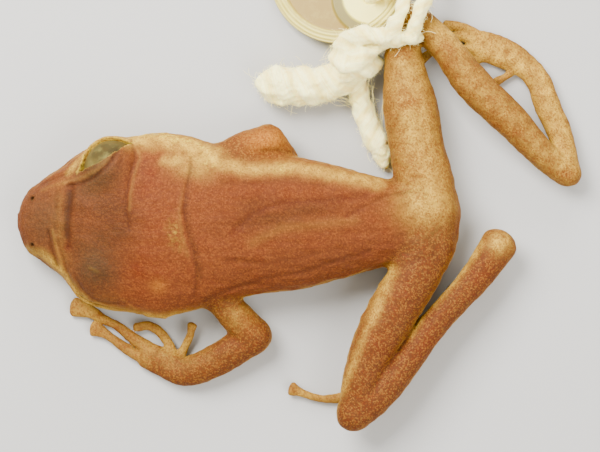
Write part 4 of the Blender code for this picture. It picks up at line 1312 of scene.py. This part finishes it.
# Loose cotton fibres: short bent curves that stand off the cord at random, never below the floor.
def fuzzTree(material):
    tree = bpy.data.node_groups.new("loose cotton fibres", "GeometryNodeTree")
    tree.interface.new_socket("Geometry", in_out="INPUT", socket_type="NodeSocketGeometry")
    for name in ("Density", "Length", "Thickness", "Spread"):
        tree.interface.new_socket(name, in_out="INPUT", socket_type="NodeSocketFloat")
    tree.interface.new_socket("Seed", in_out="INPUT", socket_type="NodeSocketInt")
    tree.interface.new_socket("Geometry", in_out="OUTPUT", socket_type="NodeSocketGeometry")
    given = addNode(tree, "NodeGroupInput")
    spots = addNode(
        tree,
        "GeometryNodeDistributePointsOnFaces",
        {"Mesh": given["Geometry"], "Density": given["Density"], "Seed": given["Seed"]},
    )
    arc = addNode(tree, "GeometryNodeCurveQuadraticBezier", fuzz["arc"])
    profile = addNode(
        tree,
        "GeometryNodeCurvePrimitiveCircle",
        {"Resolution": fuzz["sides"], "Radius": given["Thickness"]},
    )
    # each leans and turns by chance, and the spread makes it lean more
    most = fuzz["lean"]
    lean = addNode(
        tree,
        "FunctionNodeRandomValue",
        {"data_type": "FLOAT_VECTOR", "Min": tuple(-v for v in most), "Max": most, "Seed": given["Seed"]},
    )
    spread = addNode(tree, "ShaderNodeCombineXYZ", {"X": given["Spread"], "Y": given["Spread"], "Z": 1.0})
    scaled = addNode(tree, "ShaderNodeVectorMath", {"operation": "MULTIPLY", 0: lean[0], 1: spread[0]})
    turned = addNode(
        tree,
        "FunctionNodeRotateRotation",
        {"rotation_space": "LOCAL", "Rotation": spots["Rotation"], "Rotate By": scaled[0]},
    )
    vary = addNode(
        tree,
        "FunctionNodeRandomValue",
        {"data_type": "FLOAT", 2: fuzz["shortest"], 3: 1.0, "Seed": given["Seed"]},
    )
    size = addNode(tree, "ShaderNodeMath", {"operation": "MULTIPLY", 0: vary[1], 1: given["Length"]})
    placed = addNode(
        tree,
        "GeometryNodeInstanceOnPoints",
        {"Points": spots["Points"], "Instance": arc["Curve"], "Rotation": turned[0], "Scale": size[0]},
    )
    real = addNode(tree, "GeometryNodeRealizeInstances", {"Geometry": placed["Instances"]})
    tube = addNode(
        tree,
        "GeometryNodeCurveToMesh",
        {"Fill Caps": True, "Curve": real[0], "Profile Curve": profile["Curve"]},
    )
    # what would go below the floor is lifted to it
    place = addNode(tree, "GeometryNodeInputPosition")
    height = addNode(tree, "ShaderNodeSeparateXYZ", {"Vector": place[0]})["Z"]
    under = addNode(tree, "ShaderNodeMath", {"operation": "SUBTRACT", 0: fuzz["floor"] * mm, 1: height})
    lack = addNode(tree, "ShaderNodeMath", {"operation": "MAXIMUM", 0: under[0], 1: 0.0})
    lift = addNode(tree, "ShaderNodeCombineXYZ", {"Z": lack[0]})
    above = addNode(tree, "GeometryNodeSetPosition", {"Geometry": tube["Mesh"], "Offset": lift[0]})
    dressed = addNode(tree, "GeometryNodeSetMaterial", {"Material": material, "Geometry": above["Geometry"]})
    addNode(tree, "NodeGroupOutput", {"Geometry": dressed["Geometry"]})
    return tree


def growFuzz(piece, tree, kind):
    made = newObject("cotton_fibres_" + kind, piece.data)
    grow = made.modifiers.new("fibres", "NODES")
    grow.node_group = tree
    sizes = fuzz["kinds"][kind]
    values = {
        "Density": sizes["density"] / mm**2,
        "Length": sizes["length"] * mm,
        "Thickness": sizes["thickness"] * mm,
        "Spread": sizes["spread"],
        "Seed": sizes["seed"],
    }
    for socket in tree.interface.items_tree:
        if socket.in_out == "INPUT" and socket.name in values:
            grow[socket.identifier] = values[socket.name]
    return bakeModifiers(made)


strays = {
    # from, to, how far the ends wander, how far the middle sags, how many
    "runs": (
        ((1.00, 2.30, 0.80), (2.05, 1.90, 0.60), 0.18, 0.30, 9),
        ((2.30, 2.70, 0.90), (2.62, 1.30, 0.50), 0.16, 0.25, 8),
        ((1.45, 4.20, 0.70), (0.80, 3.60, 0.60), 0.14, 0.20, 7),
        ((2.90, 2.60, 0.90), (2.70, 0.90, 0.45), 0.10, 0.20, 3),
    ),
    "thick": 0.006,
    "steps": 14,
    "seed": 77,
}


# Single fibres pulled loose, each a thin bent thread from one part of the tie to another.
def makeStrays(material):
    chance = np.random.default_rng(strays["seed"])
    points, faces = [], []
    for start, end, wander, sag, count in strays["runs"]:
        for _ in range(count):
            a = np.array(start) + chance.normal(size=3) * wander
            b = np.array(end) + chance.normal(size=3) * wander
            bend = (a + b) / 2 + chance.normal(size=3) * sag
            for i in range(strays["steps"] + 1):
                t = i / strays["steps"]
                spot = (1 - t) ** 2 * a + 2 * t * (1 - t) * bend + t * t * b
                spot[2] = max(spot[2], strays["thick"] * 2)
                base = len(points)
                for k in range(3):
                    turn = 2 * math.pi * k / 3
                    around = np.array((math.cos(turn), math.sin(turn), math.sin(turn + 1)))
                    points.append(spot + around * strays["thick"])
                if i:
                    for k in range(3):
                        n = (k + 1) % 3
                        faces.append((base - 3 + k, base - 3 + n, base + n, base + k))
    made = meshObject("cotton_strays", np.array(points), np.array(faces))
    closeHoles(made.data)
    made.data.materials.append(material)
    return toMetres(made)


cottonLook = {
    "yarn": linear("fff6ae"),
    # the yarn in shade: painted in the grooves between the plies, and the tone of the darker fibres
    "grooveShadeAndFibreTone": linear("efd566"),
    # a real fibre is about 0.015 mm thick, too fine to show, so the noise is drawn coarser
    "fibre": 0.10,
    # how often the long fibres repeat over the longest strand, and across half a turn
    "along": 9.0,
    "around": 9.0,
    "relief": 0.03 * mm,
}


# Soft-spun cotton, unbleached and damp: matte, with a soft sheen, painted shade in the grooves between the
# plies and fibres of a darker tone.
def cottonMaterial():
    look = cottonLook
    made, tree, shader = newMaterial(
        "soft spun cotton cord",
        {
            "Roughness": 0.90,
            "Sheen Weight": 0.25,
            "Subsurface Weight": 0.15,
            "Subsurface Scale": 0.3 * mm,
            "Specular IOR Level": 0.2,
        },
    )
    place = addNode(tree, "ShaderNodeTexCoord")["Object"]
    entries = {"Vector": place, "Scale": perMetre(look["fibre"]), "Detail": 5.0, "Roughness": 0.65}
    fine = addNode(tree, "ShaderNodeTexNoise", entries)["Fac"]
    ply = addNode(tree, "ShaderNodeAttribute", {"attribute_name": "ply"})["Fac"]
    # the long fibres follow the twist of the yarn
    twisted = {}
    for axis, name, scale in (("X", "run", "along"), ("Y", "twistA", "around"), ("Z", "twistB", "around")):
        share = addNode(tree, "ShaderNodeAttribute", {"attribute_name": name})["Fac"]
        entries = {"operation": "MULTIPLY", 0: share, 1: look[scale]}
        twisted[axis] = addNode(tree, "ShaderNodeMath", entries)[0]
    vector = addNode(tree, "ShaderNodeCombineXYZ", twisted)[0]
    entries = {"Vector": vector, "Scale": 1.0, "Detail": 4.0, "Roughness": 0.6}
    fibres = addNode(tree, "ShaderNodeTexNoise", entries)["Fac"]
    # painted shade in the grooves between the plies, then the darker tone of single fibres
    # from what, where it starts, where it is full, how much it is then
    grooveShadeAndFibres = ((ply, 0.45, 0.0, 0.55), (fine, 0.50, 0.25, 0.4), (fibres, 0.52, 0.30, 0.7))
    layers = []
    for source, low, high, most in grooveShadeAndFibres:
        entries = {"Value": source, "From Min": low, "From Max": high, "To Max": most}
        layers.append((addNode(tree, "ShaderNodeMapRange", entries)["Result"], look["grooveShadeAndFibreTone"]))
    tree.links.new(layTones(tree, look["yarn"], layers), shader.inputs["Base Color"])
    raised = addNode(tree, "ShaderNodeMath", {"operation": "MULTIPLY", 0: fibres, 1: 1.6})[0]
    height = addNode(tree, "ShaderNodeMath", {"operation": "ADD", 0: fine, 1: raised})[0]
    bump = addNode(tree, "ShaderNodeBump", {"Strength": 0.6, "Distance": look["relief"], "Height": height})
    tree.links.new(bump["Normal"], shader.inputs["Normal"])
    return made


tag = {
    "at": (1.35, 6.50),
    "radius": 2.40,
    "thick": 0.36,
    "rim": 0.40,
    "faceDepth": 0.12,
    "collarAt": (2.39, 5.65),
    "collarRadius": 0.95,
    "stepRadius": 1.30,
    "stepHeight": 0.05,
    "hole": 0.25,
    "ridge": 0.020,
    "ridgeEvery": 0.13,
    "rounding": 0.08,
    "soft": 0.05,
    "tilt": math.radians(9.0),
    "sink": 0.02,
    "floor": 0.005,
    "turns": 180,
    "levels": 80,
}


# The disc as a fine height map in spokes from the hole, closed below.
def makeTag():
    t = tag
    hole = np.array(t["collarAt"]) - np.array(t["at"])
    angles = np.linspace(0, 2 * math.pi, t["turns"], endpoint=False)
    way = np.stack([np.cos(angles), np.sin(angles)], axis=1)
    toward = way @ hole
    reach = np.sqrt(toward**2 - hole @ hole + t["radius"] ** 2) - toward
    top, bottom = [], []
    for share in np.linspace(0, 1, t["levels"] + 1):
        spot = hole + way * (t["hole"] + (reach - t["hole"]) * share)[:, None]
        inward = t["radius"] - np.linalg.norm(spot, axis=1)
        off = np.linalg.norm(spot - hole, axis=1)
        rim = 1 - smoothStep(t["rim"] - t["soft"], t["rim"] + t["soft"], inward)
        collar = 1 - smoothStep(t["collarRadius"] - 0.06, t["collarRadius"] + 0.04, off)
        step = 1 - smoothStep(t["stepRadius"] - t["soft"], t["stepRadius"] + t["soft"], off)
        rounded = np.minimum(np.clip(inward / 0.10, 0, 1), np.clip((off - t["hole"]) / 0.08, 0, 1))
        groove = np.cos(2 * math.pi * inward / t["ridgeEvery"])
        height = t["thick"] - t["faceDepth"] * (1 - np.maximum(rim, collar))
        height = np.maximum(height, t["thick"] - t["faceDepth"] + t["stepHeight"] * step)
        height = height + t["ridge"] * rim * groove
        height = height - t["rounding"] * (1 - np.sqrt(1 - (1 - rounded) ** 2))
        # the rim colour is strongest on the tops of its ridges and weaker in the grooves: a painted
        # highlight and painted shade
        top.append((spot, height, np.maximum(rim * (0.7 + 0.3 * groove), 0), collar, step))
        bottom.append((spot, np.where(inward < 0.02, 0.03, 0.0), rim * 0, collar * 0, step * 0))
    rings = top + bottom[::-1]
    points = np.concatenate([np.column_stack([spot, height]) for spot, height, *_ in rings])
    count, turns = len(rings), t["turns"]
    i, k = np.meshgrid(np.arange(count), np.arange(turns), indexing="ij")
    n, m = (i + 1) % count, (k + 1) % turns
    faces = np.stack([i * turns + k, n * turns + k, n * turns + m, i * turns + m], axis=-1).reshape(-1, 4)
    made = meshObject("tag_card", points, faces)
    made.data.set_sharp_from_angle(angle=math.radians(50))
    for name, at in (("rim", 2), ("collar", 3), ("step", 4)):
        setAttribute(made.data, name, np.concatenate([ring[at] for ring in rings]))
    # tilted, with its low edge on the floor
    rise = t["radius"] * math.sin(t["tilt"]) - t["sink"]
    made.data.transform(Matrix.Translation((*t["at"], rise)) @ Matrix.Rotation(-t["tilt"], 4, "Y"))
    movePoints(made.data, coordinatesOf(made.data), t["floor"])
    return toMetres(made)


cardLook = {
    "face": linear("8a6e14"),
    "edge": linear("d2c460"),
    "collar": linear("f6ea80"),
    # a painted shadow ring of darker olive around the collar
    "step": linear("74661c"),
    "fibre": 0.4,
    "relief": 0.01 * mm,
}


# Pressed fibre card, waxed: dull tan with faint fibres and a paler rim, its ridges painted paler as a
# highlight and its grooves darker as shade, with a painted shadow ring of darker olive around the collar.
def cardMaterial():
    look = cardLook
    settings = {"Roughness": 0.50, "Coat Weight": 0.06, "Coat Roughness": 0.2}
    made, tree, shader = newMaterial("waxed pressed fibre card", settings)
    place = addNode(tree, "ShaderNodeTexCoord")["Object"]
    entries = {"Vector": place, "Scale": perMetre(look["fibre"]), "Detail": 6.0, "Roughness": 0.7}
    fibres = addNode(tree, "ShaderNodeTexNoise", entries)["Fac"]
    entries = {"Value": fibres, "From Min": 0.5, "From Max": 0.85, "To Max": 0.30}
    layers = [(addNode(tree, "ShaderNodeMapRange", entries)["Result"], look["edge"])]
    for name, tone in (("step", "step"), ("collar", "collar"), ("rim", "edge")):
        share = addNode(tree, "ShaderNodeAttribute", {"attribute_name": name})["Fac"]
        layers.append((share, look[tone]))
    tree.links.new(layTones(tree, look["face"], layers), shader.inputs["Base Color"])
    bump = addNode(tree, "ShaderNodeBump", {"Strength": 0.3, "Distance": look["relief"], "Height": fibres})
    tree.links.new(bump["Normal"], shader.inputs["Normal"])
    return made


view = {"centre": (0.00, -2.07, 1.2), "wide": 20.0, "lens": 120.0, "sensor": 36.0, "clip": (0.005, 2.0)}


def makeCamera():
    camera = newObject("camera", bpy.data.cameras.new("camera"))
    camera.data.lens = view["lens"]
    camera.data.sensor_width = view["sensor"]
    camera.data.clip_start, camera.data.clip_end = view["clip"]
    x, y, z = view["centre"]
    away = view["wide"] * view["lens"] / view["sensor"]
    camera.location = (x * mm, y * mm, (z + away) * mm)
    scene.camera = camera


studio = {
    "floorSide": 2.0,
    "floor": linear("acaaa6"),
    "sky": linear("f4f2ee"),
    "strength": 1.15,
    # place in millimetres, side in millimetres, watts
    "lamps": {
        "key": ((-30, 34, 56), 40, 0.180),
        "fill": ((44, -36, 52), 60, 0.080),
        "back": ((10, 70, 30), 40, 0.060),
    },
}


def makeStudio():
    floor = newObject("floor", bpy.data.meshes.new("floor"))
    sheet = bmesh.new()
    bmesh.ops.create_grid(sheet, x_segments=1, y_segments=1, size=studio["floorSide"] / 2)
    sheet.to_mesh(floor.data)
    sheet.free()
    settings = {"Base Color": studio["floor"], "Roughness": 0.9, "Specular IOR Level": 0.2}
    paper, _, _ = newMaterial("matte paper sweep", settings)
    floor.data.materials.append(paper)
    world = bpy.data.worlds.new("studio")
    world.use_nodes = True
    sky = world.node_tree.nodes["Background"]
    sky.inputs["Color"].default_value = studio["sky"]
    sky.inputs["Strength"].default_value = studio["strength"]
    scene.world = world
    for name, (spot, side, power) in studio["lamps"].items():
        lamp = bpy.data.lights.new(name, "AREA")
        lamp.size = side * mm
        lamp.energy = power
        held = newObject(name, lamp)
        held.location = Vector(spot) * mm
        held.rotation_euler = Vector(spot).to_track_quat("Z", "Y").to_euler()


# Gives a piece its material, the body it rides on and the nodes it stands in for.
def dress(piece, nodes, material=None):
    if material:
        piece.data.materials.clear()
        piece.data.materials.append(material)
    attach(piece, "root")
    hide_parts(*nodes)


flesh = [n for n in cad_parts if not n.startswith(("eye_", "cord_", "tag"))]
cords = [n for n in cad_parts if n.startswith("cord_")]

makeCamera()
makeStudio()
print("studio ready")
skin = makeSkin()
dress(skin, flesh, skinMaterial())
print("skin ready:", len(skin.data.polygons), "faces")
clouded = eyeMaterial()
for side in ("right", "left"):
    dress(makeEye(side), ["eye_" + side], clouded)
print("eyes ready")
cotton = cottonMaterial()
cord = makeTie()
fibres = fuzzTree(cotton)
dress(cord, cords, cotton)
for kind in fuzz["kinds"]:
    dress(growFuzz(cord, fibres, kind), cords)
dress(makeStrays(cotton), cords)
print("tie ready:", len(cord.data.polygons), "faces")
dress(makeTag(), ["tag"], cardMaterial())
print("tag ready")
